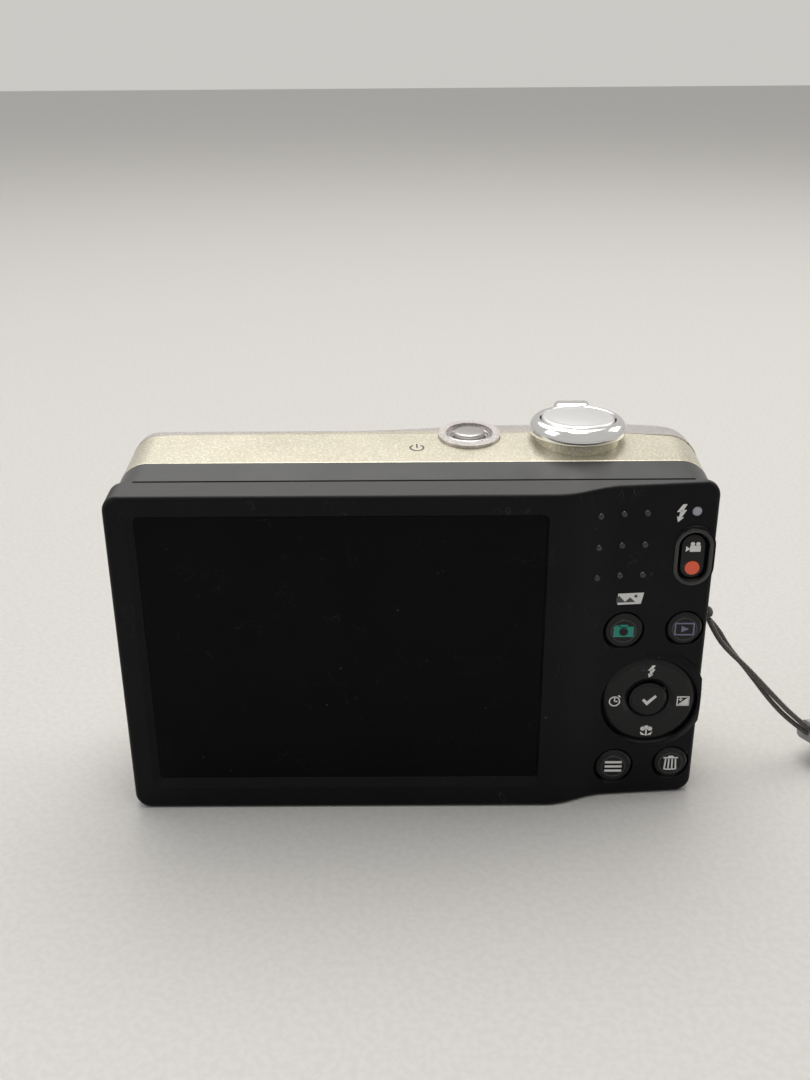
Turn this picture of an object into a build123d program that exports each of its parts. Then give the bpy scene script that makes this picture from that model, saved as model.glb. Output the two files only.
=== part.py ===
from build123d import *
import math
import os

# A compact digital camera that stands on its base, with its lens retracted and its wrist strap
# laid out at its side. X runs across the camera to the grip side, Y from the monitor to the lens
# and Z up. The origin is on the base, midway between the rear face and the tip of the zoom tab.
# Depths are measured from the rear face, so a piece at depth d lies at y = d - overall_depth / 2.
# Everything is in millimetres.

# ---------------------------------------------------------------- casing
body_width = 96.0
side = body_width / 2
band_top = 59.7  # height from the crown of the band forward
overall_depth = 30.4  # rear face to the tip of the zoom tab
grip_depth = 28.8  # rear face to the front of the grip
lens_side_depth = 26.0  # rear face to the front beside the lens
rear_top = band_top - 2.3  # height of the casing at the rear face
rear_split_top = band_top - 1.8  # height at the line where the rear cover ends
frame_split_top = band_top - 1.1  # height at the line where the frame ends
rear_split = 5.4  # depth where the rear cover meets the frame
frame_split = 12.0  # depth where the frame meets the middle band
crown_depth = 23.0  # depth where the rising top levels out
seam_middle = 25.7  # control depth of the seam in front of the band
seam_left = 22.3  # depth of the seam on the lens side
seam_right = 20.3  # depth of the seam on the grip side
wall = 1.2
front_wall = 1.4
rear_plate = 1.8
rear_corner = 2.6
casing_corner = 5.0
rear_edge = 0.8  # rounding round the rear face
front_edge = 1.5  # rounding round the front
groove = 0.2  # rounding on each side of a parting line
seat_gap = 0.05  # pieces that are assembled and stay still
run_gap = 0.15  # pieces that move past each other
slide_gap = 0.08  # telescoping tubes and shafts
through = 3.0  # extra length of a cut that passes a wall

# ---------------------------------------------------------------- control pad and monitor
pad_start = side - 26.0  # x where the pad starts to step in
pad_end = side - 15.0  # x where the step ends
pad_step = 3.0  # depth of the pad there
pad_slope = 0.084  # the pad goes on falling away towards the grip side

window_width = body_width - 32.15
window_height = band_top - 11.75
window_x = window_width / 2 - side + 4.75
window_z = 5.85 + window_height / 2
window_recess = 0.5
window_thickness = 0.8
window_ledge = 1.2
window_corner = 0.8
bevel_left = 1.3
bevel_right = 0.3
bevel_bottom = 1.75
bevel_top = 0.4

# ---------------------------------------------------------------- rear buttons
movie_x, movie_z = side - 3.6, band_top - 14.4
movie_width, movie_height = 4.0, 7.7
movie_rim = 1.1  # width of the raised rim round the movie button
small_buttons = {
    "mode_button": (side - 13.9, 32.4, 3.1),
    "playback_button": (side - 3.8, 32.3, 2.9),
    "menu_button": (side - 13.9, 6.1, 3.1),
    "delete_button": (side - 3.9, 6.2, 2.9),
}
recess_margin = 0.35  # gap round each button's cap
recess_sink = 1.15  # depth of the recess that the cap moves in
cap_thickness = 0.75
button_waist = 0.7  # how much narrower a button is behind its cap
button_rise = 0.1  # a button's face stands this far out of the pad
flange_margin = 0.4
flange_near = 5.55
flange_thickness = 0.6
stem_radius = 1.0
stem_end = 6.8
selector_x, selector_z = side - 8.7, 18.9
selector_radius = 7.85
selector_recess = selector_radius + 0.3
selector_skirt = selector_radius - 1.35
crater_radius = selector_radius + 1.75
ok_radius = 3.2
dome_near = 7.2
dome_thickness = 0.3
key_board_thickness = 0.6
lamp_x, lamp_z = side - 3.6, band_top - 6.7
lamp_radius = 0.75
bump_radius = 0.62
bump_columns = (side - 19.0, side - 15.2, side - 11.5)
bump_rows = (band_top - 6.7, band_top - 12.05, band_top - 17.3)

dome_radius = 1.9
dome_far = dome_near + dome_thickness
hub_inner, hub_outer = 3.45, 4.0
selector_throw = max(selector_skirt - 1.3, hub_outer + 1.2)  # from its middle to the domes
hub_near, hub_far = 4.8, 6.4
lcd_width, lcd_height = window_width + 2.65, window_height + 2.55
lcd_far = 4.2
bracket_thickness = 0.4
board_width, board_height = body_width - 38.0, 50.0
board_x, board_z = board_width / 2 - side + 3.0, 29.0
board_gap = 0.1
board_thickness = 1.0
chip_height = 1.1
chips = ((side - 82.0, 40.0, 11.0, 11.0), (side - 82.0, 22.0, 9.0, 12.0), (side - 42.0, 14.0, 8.0, 6.0))
key_board_x, key_board_width, key_board_height = side - 13.0, 21.5, 53.0
board_corner = 3.5

# ---------------------------------------------------------------- top controls
power_x, power_depth = side - 38.55, 22.2
tongue_radius = 5.2
tongue_top = band_top + 0.45
tongue_base = band_top - 1.35
tongue_tilt = 6.0
bridge_margin = 0.3  # how much narrower than the tongue the strip to the front is, on each side
bridge_top = band_top + 0.25  # top of the strip that joins the tongue to the front cover
trough_radius = 3.95
trough_rim = band_top + 0.05
trough_floor = band_top - 0.25
power_radius = 2.65
power_top = band_top + 0.75
power_flange = 0.6
power_flange_low, power_flange_high = band_top - 2.2, band_top - 1.8
zoom_x, zoom_depth = side - 20.5, 20.9
zoom_radius = 8.1
zoom_low, zoom_high = band_top + 0.9, band_top + 3.5
skirt_low = band_top + 0.25  # the ring's skirt comes down round the collar
collar_radius = zoom_radius - 1.0
collar_low, collar_high = band_top - 1.4, band_top + 0.75
sleeve_radius = zoom_radius - 3.2
sleeve_top = band_top + 1.25
cap_radius = zoom_radius - 2.0
cap_low, cap_top = band_top + 2.45, band_top + 3.8
shutter_stem = 2.0
stem_flange = 1.0
stem_flange_low, stem_flange_high = band_top - 2.3, band_top - 1.8
switch_board_low = band_top - 3.6
switch_board_thickness = 0.6
tab_width = 6.5

# ---------------------------------------------------------------- lens
lens_x, lens_z = 37.5 - side, 29.0
housing_inner = 17.0
housing_outer = housing_inner + 1.4
housing_back = 8.9
housing_plate = 1.2
housing_plate_size = 2 * housing_outer + 6.8
housing_foot = 2.0  # half the width of each foot
barrel_wall = 1.32
plate_front = housing_back + housing_plate
housing_front = lens_side_depth - front_wall - seat_gap
rear_lens_radius = 6.25
motor_x, motor_radius = lens_x + housing_outer + 2.5, 2.3
motor_depth = 14.0
motor_low, motor_high = 22.0, 34.0
gear_low, gear_high = 35.0, 37.0
outer_barrel_back, outer_barrel_front = 10.4, 26.7
inner_barrel_back, inner_barrel_front = 10.6, 27.6
trim_radius = housing_inner + 3.5
trim_front = 28.2
lens_radius = 7.0
lens_cell = 1.3
sensor_width, sensor_height = 12.0, 10.0
aperture_radius = 4.5
blade_radius = 5.2
blade_pivot_x, blade_pivot_z = 9.5, 2.0
blade_arm, blade_eye = 1.6, 1.3
blade_near, blade_far = 26.35, 26.65
pivot_radius = 0.6

# ---------------------------------------------------------------- cells, card and door
cell_radius = 7.25
cell_length = 50.5
cell_button, cell_button_radius = 1.2, 2.75
cell_pitch = 15.1
cell_x = side - 19.6  # midway between the two cells
cell_depth = 18.9
cell_base = 3.9
bore_radius = 7.35
box_margin = 0.25
box_low, box_high = 3.0, band_top - 3.7
card_width, card_height, card_thickness = 24.0, 32.0, 2.1
card_near = 8.9
card_base = 3.2
slot_wall = 0.25
door_left, door_right = side - 34.6, side - 4.5
door_near, door_far = 8.7, 26.2
door_thickness = 1.9
door_corner = 0.6
hinge_x, hinge_z = side - 3.6, 1.35
knuckle_radius = 0.9
knuckle_near, knuckle_far = 9.6, 25.3
pin_radius = 0.5
hinge_relief = 1.75
lug_near, lug_far = 8.75, 26.2  # the two lugs that hold the hinge pin
lug_radius = 0.75
lug_arm = (hinge_x - 0.3, hinge_x + 1.9)  # x range of the arm that joins each lug to the casing
lug_low, lug_top = hinge_z + 0.2, 2.9
latch_x, latch_width, latch_depth = door_left + 4.2, 3.0, 7.0
latch_travel = 2.0
contact_left, contact_right = door_left + 8.8, door_right - 1.5
contact_near, contact_far = 14.5, 23.3
contact_thickness = 0.3
spring_wide, spring_narrow = 2.4, 1.4
plate_radius, plate_thickness = 5.0, 0.4

# ---------------------------------------------------------------- sockets, flash and fixings
socket_x, socket_depth = side - 44.0, 17.2
socket_radius, socket_bore = 4.5, 2.55
socket_height, socket_bore_depth = 7.0, 5.5
port_depth, port_z = 17.0, 22.0
port_cover_width, port_cover_height = 8.0, 16.0
port_cover_thickness = 1.2
flash_x, flash_z = 10.0 - side, band_top - 10.7
flash_width, flash_height = 12.0, 6.5
timer_x, timer_z = 26.0 - side, band_top - 6.4
timer_radius = 1.8
flash_back = 24.5
capacitor_radius = 3.75
capacitor_low, capacitor_high = band_top - 28.7, band_top - 14.7
speaker_x, speaker_depth = 11.0 - side, 18.4
speaker_radius, speaker_top = 6.0, 4.0
speaker_hole, speaker_pitch = 0.5, 2.6
screw_depth = 16.0
screw_head, screw_shank = 1.4, 0.7
screw_head_height, screw_length = 0.5, 3.3
slot_long, slot_narrow = 1.6, 0.35  # the cross in each screw
base_screws = (22.0 - side, 42.0 - side)  # x of each screw in the base
side_screws = ((1, band_top - 9.7), (1, 14.0), (-1, band_top - 9.7), (-1, 9.0))  # side of the camera (-1 or 1) and height

# ---------------------------------------------------------------- strap
eyelet_depth, eyelet_z = 11.0, 32.0
eyelet_width, eyelet_height = 5.6, 9.6
eyelet_inner = side - 3.4  # x where the eyelet's cup ends inside the casing
eyelet_wall, eyelet_corner = 0.6, 1.2
bar_x, bar_radius = side - 0.8, 0.6
knot_radius = 1.15
knot_places = ((side + 1.0, 31.9), (side + 1.6, 31.0))  # x and height of the knot's two lumps
cord_diameter = 0.9
ferrule_heading = (0.853, 0.522)
ferrule_start = (side + 22.6, 12.4, 6.7)
ferrule_run = 13.0
ferrule_width, ferrule_height = 7.0, 4.0
hank_length, hank_width, hank_height = 74.0, 6.4, 5.8

os.makedirs("parts", exist_ok=True)


# ---------------------------------------------------------------- shared shapes
def y_at(depth):
    """Y of a depth measured from the rear face."""
    return depth - overall_depth / 2


def depth_plane(depth):
    """Plane across the camera at a depth, facing the rear, with Z as its second axis."""
    return Plane.XZ.offset(-y_at(depth))


def top_at(depth):
    """Height of the casing's top at a depth."""
    stations = (
        (0.0, rear_top),
        (rear_split, rear_split_top),
        (frame_split, frame_split_top),
        (crown_depth, band_top),
        (overall_depth, band_top),
    )
    height = rear_top
    for (near, low), (far, high) in zip(stations, stations[1:]):
        if near <= depth <= far:
            height = low + (high - low) * (depth - near) / (far - near)
    return height


def pad_depth(x):
    """Depth of the rear face at x: a smooth step, then the gentle slope of the control pad."""
    if x <= pad_start:
        return 0.0
    if x >= pad_end:
        return pad_step + pad_slope * (x - pad_end)
    share = (x - pad_start) / (pad_end - pad_start)
    return pad_step * share * share * (3 - 2 * share)


def casing_section(depth, corner, inset=0.0):
    """Rounded outline of the casing at a depth, a given distance inside its skin."""
    height = top_at(depth)
    with BuildSketch(depth_plane(depth)) as outline:
        with Locations((0, height / 2)):
            RectangleRounded(body_width - 2 * inset, height - 2 * inset, corner - inset)
    return outline.sketch


def casing_block(near, far, corner, inset=0.0, mode=Mode.ADD):
    """The casing's solid between two depths."""
    loft([casing_section(near, corner, inset), casing_section(far, corner, inset)], mode=mode)


def disc(x, z, radius, near, far, mode=Mode.ADD):
    """Round piece along the depth."""
    with BuildSketch(depth_plane(far)) as face:
        with Locations((x, z)):
            Circle(radius)
    extrude(face.sketch, amount=far - near, mode=mode)


def block(x, z, width, height, near, far, corner=0.0, mode=Mode.ADD):
    """Rectangular piece along the depth, with optional rounded corners."""
    with BuildSketch(depth_plane(far)) as face:
        with Locations((x, z)):
            if corner > 0:
                RectangleRounded(width, height, corner)
            else:
                Rectangle(width, height)
    extrude(face.sketch, amount=far - near, mode=mode)


def turned(x, z, profile, mode=Mode.ADD):
    """Round piece along the depth, turned from (radius, depth) points."""
    with BuildSketch(Plane.XY.offset(z)) as half:
        with BuildLine():
            Polyline(*[(x + radius, y_at(depth)) for radius, depth in profile], close=True)
        make_face()
    revolve(half.sketch, axis=Axis((x, 0, z), (0, 1, 0)), mode=mode)


def turned_up(x, depth, profile, mode=Mode.ADD):
    """Round upright piece, turned from (radius, height) points."""
    with BuildSketch(depth_plane(depth)) as half:
        with BuildLine():
            Polyline(*[(x + radius, height) for radius, height in profile], close=True)
        make_face()
    revolve(half.sketch, axis=Axis((x, y_at(depth), 0), (0, 0, 1)), mode=mode)


def upright(x, depth, radius, low, high, mode=Mode.ADD):
    """Upright round piece."""
    with BuildSketch(Plane.XY.offset(low)) as face:
        with Locations((x, y_at(depth))):
            Circle(radius)
    extrude(face.sketch, amount=high - low, mode=mode)


def slab(x_low, x_high, near, far, low, high, corner=0.0, mode=Mode.ADD):
    """Upright rectangular piece between two x, two depths and two heights."""
    with BuildSketch(Plane.XY.offset(low)) as face:
        with Locations(((x_low + x_high) / 2, y_at((near + far) / 2))):
            if corner > 0:
                RectangleRounded(x_high - x_low, far - near, corner)
            else:
                Rectangle(x_high - x_low, far - near)
    extrude(face.sketch, amount=high - low, mode=mode)


def sideways(depth, z, radius, x_low, x_high, mode=Mode.ADD):
    """Round piece across the camera."""
    with BuildSketch(Plane.YZ.offset(x_low)) as face:
        with Locations((y_at(depth), z)):
            Circle(radius)
    extrude(face.sketch, amount=x_high - x_low, mode=mode)


def save(piece, name):
    """Label a finished piece and write it as the STEP file of its own name."""
    piece.part.label = name
    export_step(piece.part, f"parts/{name}.step")


# ---------------------------------------------------------------- outlines in plan
def step_profile(shift, x_low, x_high, close_at):
    """Plan area between a depth and the stepped rear face, moved forward by a shift."""
    blend = (pad_end - pad_start) * 0.4
    with BuildSketch(Plane.XY) as area:
        with BuildLine():
            left = Line((x_low, y_at(shift)), (pad_start, y_at(shift)))
            step = Bezier(
                left @ 1,
                (pad_start + blend, y_at(shift)),
                (pad_end - blend, y_at(shift + pad_step - pad_slope * blend)),
                (pad_end, y_at(shift + pad_step)),
            )
            right = Line(step @ 1, (x_high, y_at(shift + pad_step + pad_slope * (x_high - pad_end))))
            Polyline(right @ 1, (x_high, y_at(close_at)), (x_low, y_at(close_at)), left @ 0)
        make_face()
    return area.sketch


def seam_area(near):
    """Plan area behind the front seam, down to a depth."""
    reach = side + 0.5
    with BuildSketch(Plane.XY) as area:
        with BuildLine():
            seam = Bezier(
                (-reach, y_at(seam_left)),
                (-reach * 0.42, y_at(seam_middle - 0.7)),
                (reach * 0.66, y_at(seam_middle)),
                (reach, y_at(seam_right)),
            )
            Polyline(seam @ 1, (reach, y_at(near)), (-reach, y_at(near)), seam @ 0)
        make_face()
    return area.sketch


def front_area(inset):
    """Plan area up to the front cover's face, which swells into the grip, less an inset."""
    edge = side - inset
    flat = y_at(lens_side_depth - inset)
    grip = y_at(grip_depth - inset)
    with BuildSketch(Plane.XY) as area:
        with BuildLine():
            left = Line((-edge, y_at(0)), (-edge, y_at(seam_left - 2.0)))
            corner = Bezier(left @ 1, (-edge, flat), (-edge, flat), (-edge + 5.0, flat))
            face = Line(corner @ 1, (lens_x - 2.0, flat))
            swell = Bezier(face @ 1, (lens_x + 12.0, flat), (lens_x + 14.0, grip), (side - 28.0, grip))
            top = Line(swell @ 1, (side - 15.0, grip))
            nose = Bezier(
                top @ 1, (side - 6.5, grip), (edge, grip - 1.0), (edge, y_at(seam_right - 2.0))
            )
            Polyline(nose @ 1, (edge, y_at(0)), left @ 0)
        make_face()
    return area.sketch


def door_opening(gap, mode=Mode.SUBTRACT):
    """The battery door's outline with a gap round it, cut through the base and its hinge relief."""
    slab(
        door_left - gap,
        door_right + gap,
        door_near - gap,
        door_far + gap,
        -through,
        through,
        door_corner + gap,
        mode=mode,
    )
    length = door_far - door_near + 2 * gap
    with BuildSketch(depth_plane(door_far + gap)) as relief:
        with Locations((hinge_x, hinge_z)):
            Circle(hinge_relief)
            with Locations((-hinge_relief, 0)):
                Rectangle(2 * hinge_relief, 2 * hinge_relief)
    extrude(relief.sketch, amount=length, mode=mode)


def hinge_lug(near, far):
    """A lug for the battery door's pin, with its arm, between two depths."""
    disc(hinge_x, hinge_z, lug_radius, near, far)
    slab(*lug_arm, near, far, lug_low, lug_top)
    disc(hinge_x, hinge_z, pin_radius, near, far, mode=Mode.SUBTRACT)


def eyelet_cup(margin, mode):
    """The strap eyelet's outer box, as the casing is cut for it."""
    with BuildSketch(Plane.YZ.offset(eyelet_inner - margin)) as cup:
        with Locations((y_at(eyelet_depth), eyelet_z)):
            RectangleRounded(eyelet_width + 2 * margin, eyelet_height + 2 * margin, eyelet_corner)
    extrude(cup.sketch, amount=through * 2, mode=mode)


tongue_plane = Plane(
    origin=(power_x, y_at(power_depth), tongue_base),
    z_dir=(0, -math.sin(math.radians(tongue_tilt)), math.cos(math.radians(tongue_tilt))),
)


def tongue(margin, height, mode):
    """The round tongue that carries the power button, lying on the sloping top."""
    with BuildSketch(tongue_plane) as face:
        Circle(tongue_radius + margin)
    extrude(face.sketch, amount=height, mode=mode)


def tongue_bridge(margin, mode):
    """The strip that runs from the tongue to the front."""
    slab(
        power_x - tongue_radius + bridge_margin - margin,
        power_x + tongue_radius - bridge_margin + margin,
        power_depth,
        lens_side_depth - front_edge,
        tongue_base,
        bridge_top,
        mode=mode,
    )


def capsule(x, z, width, height, near, far, mode=Mode.ADD):
    """Upright round-ended piece along the depth."""
    with BuildSketch(depth_plane(far)) as face:
        with Locations((x, z)):
            SlotOverall(height, width, rotation=90)
    extrude(face.sketch, amount=far - near, mode=mode)


# ================================================================ casing shells
with BuildPart() as rear_cover:
    casing_block(0, rear_split, rear_corner)
    fillet(rear_cover.faces().sort_by(Axis.Y)[-1].edges(), groove)
    extrude(step_profile(0, 0, body_width, -through), amount=body_width, mode=Mode.SUBTRACT)
    back = rear_cover.edges().filter_by_position(
        Axis.Y, y_at(-0.1), y_at(pad_depth(side) + 0.1)
    )
    fillet(back.filter_by(lambda edge: edge.length > 3.0), rear_edge)
    inner = side - wall
    with BuildSketch(Plane.XY.offset(wall)):
        add(step_profile(rear_plate, -inner, inner, rear_split + through))
    extrude(amount=rear_top - 2 * wall, mode=Mode.SUBTRACT)
    with BuildSketch(depth_plane(-0.01)):
        bevel_x = window_x + (bevel_right - bevel_left) / 2
        bevel_z = window_z + (bevel_top - bevel_bottom) / 2
        with Locations((bevel_x, bevel_z)):
            RectangleRounded(
                window_width + bevel_left + bevel_right,
                window_height + bevel_top + bevel_bottom,
                window_corner + bevel_top,
            )
    with BuildSketch(depth_plane(window_recess)):
        with Locations((window_x, window_z)):
            RectangleRounded(window_width, window_height, window_corner)
    loft(mode=Mode.SUBTRACT)
    block(
        window_x,
        window_z,
        window_width + 2 * seat_gap,
        window_height + 2 * seat_gap,
        0,
        window_recess + window_thickness,
        window_corner,
        mode=Mode.SUBTRACT,
    )
    block(
        window_x,
        window_z,
        window_width - 2 * window_ledge,
        window_height - 2 * window_ledge,
        0,
        rear_plate + 0.2,
        mode=Mode.SUBTRACT,
    )
    for x, z, radius in small_buttons.values():
        face = pad_depth(x)
        disc(x, z, radius + recess_margin, face - 2.0, face + recess_sink, mode=Mode.SUBTRACT)
        hole = radius - button_waist + run_gap
        disc(x, z, hole, face - 2.0, rear_split + 0.5, mode=Mode.SUBTRACT)
    face = pad_depth(movie_x)
    rim_width = movie_width + 2 * (recess_margin + movie_rim)
    rim_height = movie_height + 2 * (recess_margin + movie_rim)
    capsule(movie_x, movie_z, rim_width, rim_height, face - 0.3, face + 0.5)
    capsule(
        movie_x,
        movie_z,
        movie_width + 2 * recess_margin,
        movie_height + 2 * recess_margin,
        face - 2.0,
        face + 0.6,
        mode=Mode.SUBTRACT,
    )
    capsule(
        movie_x,
        movie_z,
        movie_width + 2 * run_gap,
        movie_height + 2 * run_gap,
        face - 2.0,
        rear_split + 0.5,
        mode=Mode.SUBTRACT,
    )
    face = pad_depth(selector_x)
    turned(
        selector_x,
        selector_z,
        ((0, face + 1.2), (0, face - 0.35), (selector_recess + 0.45, face - 0.35),
         (crater_radius, face + 0.2), (crater_radius, face + 1.2)),
    )
    disc(selector_x, selector_z, selector_recess, face - 2.0, face + 1.0, mode=Mode.SUBTRACT)
    disc(
        selector_x,
        selector_z,
        selector_skirt + 2 * run_gap,
        face - 2.0,
        rear_split + 0.5,
        mode=Mode.SUBTRACT,
    )
    disc(
        lamp_x,
        lamp_z,
        lamp_radius + seat_gap,
        pad_depth(lamp_x) - 1.0,
        rear_split + 0.5,
        mode=Mode.SUBTRACT,
    )
    casing_block(-1.0, rear_split, rear_corner, mode=Mode.INTERSECT)
    for x in bump_columns:
        for z in bump_rows:
            with Locations((x, y_at(pad_depth(x) + 0.2), z)):
                Sphere(bump_radius)
save(rear_cover, "rear_cover")

with BuildPart() as mid_frame:
    casing_block(rear_split, frame_split, casing_corner)
    fillet(mid_frame.faces().sort_by(Axis.Y)[-1].edges(), groove)
    fillet(mid_frame.faces().sort_by(Axis.Y)[0].edges(), groove)
    casing_block(rear_split - 0.01, frame_split + 0.01, casing_corner, wall, mode=Mode.SUBTRACT)
    door_opening(run_gap)
    hinge_lug(lug_near, knuckle_near - run_gap)
    eyelet_cup(seat_gap, Mode.SUBTRACT)
save(mid_frame, "mid_frame")

with BuildPart() as middle_band:
    casing_block(frame_split, crown_depth, casing_corner)
    fillet(middle_band.faces().sort_by(Axis.Y)[0].edges(), groove)
    casing_block(crown_depth, seam_middle, casing_corner)
    with BuildSketch(Plane.XY.offset(-through)):
        add(seam_area(frame_split - 1.0))
    extrude(amount=body_width, mode=Mode.INTERSECT)
    casing_block(frame_split - 0.01, crown_depth, casing_corner, wall, mode=Mode.SUBTRACT)
    casing_block(crown_depth, seam_middle + 0.01, casing_corner, wall, mode=Mode.SUBTRACT)
    tongue(seat_gap, through, Mode.SUBTRACT)
    tongue_bridge(seat_gap, Mode.SUBTRACT)
    upright(
        zoom_x,
        zoom_depth,
        collar_radius + seat_gap,
        collar_low - through,
        collar_high,
        mode=Mode.SUBTRACT,
    )
    door_opening(run_gap)
    eyelet_cup(seat_gap, Mode.SUBTRACT)
    upright(socket_x, socket_depth, socket_radius + seat_gap, -1.0, socket_height, mode=Mode.SUBTRACT)
    slab(
        -side - 1.0,
        port_cover_thickness + seat_gap - side,
        port_depth - port_cover_width / 2 - run_gap,
        port_depth + port_cover_width / 2 + run_gap,
        port_z - port_cover_height / 2 - run_gap,
        port_z + port_cover_height / 2 + run_gap,
        mode=Mode.SUBTRACT,
    )
    for across, along in ((0, 0), (1, 0), (-1, 0), (0, 1), (0, -1)):
        upright(
            speaker_x + across * speaker_pitch,
            speaker_depth + along * speaker_pitch,
            speaker_hole,
            -1.0,
            wall + 0.5,
            mode=Mode.SUBTRACT,
        )
    for x in base_screws:
        upright(x, screw_depth, screw_head + seat_gap, -1.0, screw_head_height, mode=Mode.SUBTRACT)
        upright(x, screw_depth, screw_shank + seat_gap, -1.0, screw_length, mode=Mode.SUBTRACT)
    for hand, z in side_screws:
        outer = hand * side
        inner = outer - hand * screw_head_height
        far = outer - hand * screw_length
        low, high = sorted((inner, outer + hand))
        sideways(screw_depth, z, screw_head + seat_gap, low, high, mode=Mode.SUBTRACT)
        low, high = sorted((far, outer))
        sideways(screw_depth, z, screw_shank + seat_gap, low, high, mode=Mode.SUBTRACT)
save(middle_band, "middle_band")

with BuildPart() as front_cover:
    block(0, band_top / 2, body_width, band_top, frame_split, grip_depth + 1.0, casing_corner)
    with BuildSketch(Plane.XY.offset(-through)):
        add(front_area(0.0))
    extrude(amount=body_width, mode=Mode.INTERSECT)
    rim = [
        edge
        for edge in front_cover.edges()
        if edge.bounding_box().min.Y > y_at(seam_right - 3.0)
        and edge.bounding_box().max.Y > y_at(seam_left)
        and edge.bounding_box().size.Z < body_width / 3
    ]
    fillet(rim, front_edge)
    with BuildSketch(Plane.XY.offset(-through)):
        add(seam_area(0.0))
    extrude(amount=body_width, mode=Mode.SUBTRACT)
    with BuildSketch(Plane.XY.offset(wall)):
        add(front_area(front_wall))
    extrude(amount=band_top - 2 * wall, mode=Mode.SUBTRACT)
    tongue(0.0, tongue_top - tongue_base, Mode.ADD)
    tongue_bridge(0.0, Mode.ADD)
    turned_up(
        power_x,
        power_depth,
        ((0, tongue_top + through), (trough_radius, tongue_top + through), (trough_radius, trough_rim),
         (power_radius + run_gap, trough_floor), (power_radius + run_gap, tongue_base - through),
         (0, tongue_base - through)),
        mode=Mode.SUBTRACT,
    )
    upright(
        zoom_x,
        zoom_depth,
        collar_radius + seat_gap,
        collar_low - through,
        collar_high,
        mode=Mode.SUBTRACT,
    )
    door_opening(run_gap)
    hinge_lug(knuckle_far + run_gap, lug_far)
    disc(lens_x, lens_z, housing_inner + 1.0, seam_right, grip_depth + 1.0, mode=Mode.SUBTRACT)
    disc(lens_x, lens_z, trim_radius + seat_gap, lens_side_depth - 0.5, grip_depth + 1.0,
         mode=Mode.SUBTRACT)
    block(flash_x, flash_z, flash_width, flash_height, seam_left, grip_depth, 1.0, mode=Mode.SUBTRACT)
    disc(timer_x, timer_z, timer_radius, seam_left, grip_depth, mode=Mode.SUBTRACT)
save(front_cover, "front_cover")

# ================================================================ monitor and boards
with BuildPart() as monitor_window:
    block(
        window_x,
        window_z,
        window_width,
        window_height,
        window_recess,
        window_recess + window_thickness,
        window_corner,
    )
save(monitor_window, "monitor_window")

with BuildPart() as lcd_module:
    block(window_x, window_z, lcd_width, lcd_height, rear_plate + seat_gap, lcd_far, 0.5)
save(lcd_module, "lcd_module")

with BuildPart() as lcd_bracket:
    block(window_x, window_z, lcd_width + 0.6, lcd_height + 0.6, lcd_far,
          lcd_far + bracket_thickness, 1.0)
save(lcd_bracket, "lcd_bracket")

board_near = lcd_far + bracket_thickness + board_gap
board_far = board_near + board_thickness
with BuildPart() as main_board:
    block(board_x, board_z, board_width, board_height, board_near, board_far, board_corner)
    for x, z, width, height in chips:
        block(x, z, width, height, board_far, board_far + chip_height)
save(main_board, "main_board")

with BuildPart() as key_board:
    block(key_board_x, board_z, key_board_width, key_board_height, dome_far,
          dome_far + key_board_thickness, board_corner)
save(key_board, "key_board")

dome_places = [(x, z) for x, z, radius in small_buttons.values()]
dome_places += [(movie_x, movie_z), (selector_x, selector_z)]
dome_places += [
    (selector_x + selector_throw * math.cos(turn), selector_z + selector_throw * math.sin(turn))
    for turn in (0, math.pi / 2, math.pi, 3 * math.pi / 2)
]
with BuildPart() as key_domes:
    for x, z in dome_places:
        turned(
            x,
            z,
            ((0, dome_near), (dome_radius * 0.6, dome_near + 0.06), (dome_radius, dome_far),
             (0, dome_far)),
        )
save(key_domes, "key_domes")

# ================================================================ rear buttons
for name, (x, z, radius) in small_buttons.items():
    face = pad_depth(x) - button_rise
    waist = radius - button_waist
    with BuildPart() as push_button:
        turned(
            x,
            z,
            ((0, face - 0.12), (radius * 0.6, face - 0.06), (radius - 0.25, face + 0.05),
             (radius, face + 0.3), (radius, face + cap_thickness), (waist, face + cap_thickness),
             (waist, flange_near), (waist + flange_margin, flange_near),
             (waist + flange_margin, flange_near + flange_thickness),
             (stem_radius, flange_near + flange_thickness), (stem_radius, stem_end), (0, stem_end)),
        )
    save(push_button, name)

with BuildPart() as movie_button:
    face = pad_depth(movie_x)
    capsule(movie_x, movie_z, movie_width, movie_height, face - button_rise, flange_near)
    fillet(movie_button.faces().sort_by(Axis.Y)[0].edges(), 0.35)
    capsule(movie_x, movie_z, movie_width + flange_margin, movie_height + flange_margin, flange_near,
            flange_near + flange_thickness)
    disc(movie_x, movie_z, stem_radius, flange_near + flange_thickness, stem_end)
save(movie_button, "movie_button")

selector_face = pad_depth(selector_x) - 0.3
with BuildPart() as multi_selector:
    turned(
        selector_x,
        selector_z,
        ((hub_inner, selector_face + 0.75), (ok_radius + 1.2, selector_face + 0.1),
         (selector_radius - 0.8, selector_face), (selector_radius, selector_face + 0.4),
         (selector_radius, selector_face + 0.9), (selector_skirt, selector_face + 0.9),
         (selector_skirt, 5.9), (selector_skirt + 0.5, 5.9), (selector_skirt + 0.5, 6.3),
         (hub_outer + 0.3, 6.3), (hub_outer + 0.3, hub_near - 0.2), (hub_inner, hub_near - 0.2)),
    )
    for turn in range(4):
        angle = turn * math.pi / 2
        disc(
            selector_x + selector_throw * math.cos(angle),
            selector_z + selector_throw * math.sin(angle),
            0.9,
            6.3,
            stem_end,
        )
save(multi_selector, "multi_selector")

with BuildPart() as selector_hub:
    turned(
        selector_x,
        selector_z,
        ((hub_inner, hub_near), (hub_outer, hub_near), (hub_outer, hub_far), (hub_inner, hub_far)),
    )
save(selector_hub, "selector_hub")

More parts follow.
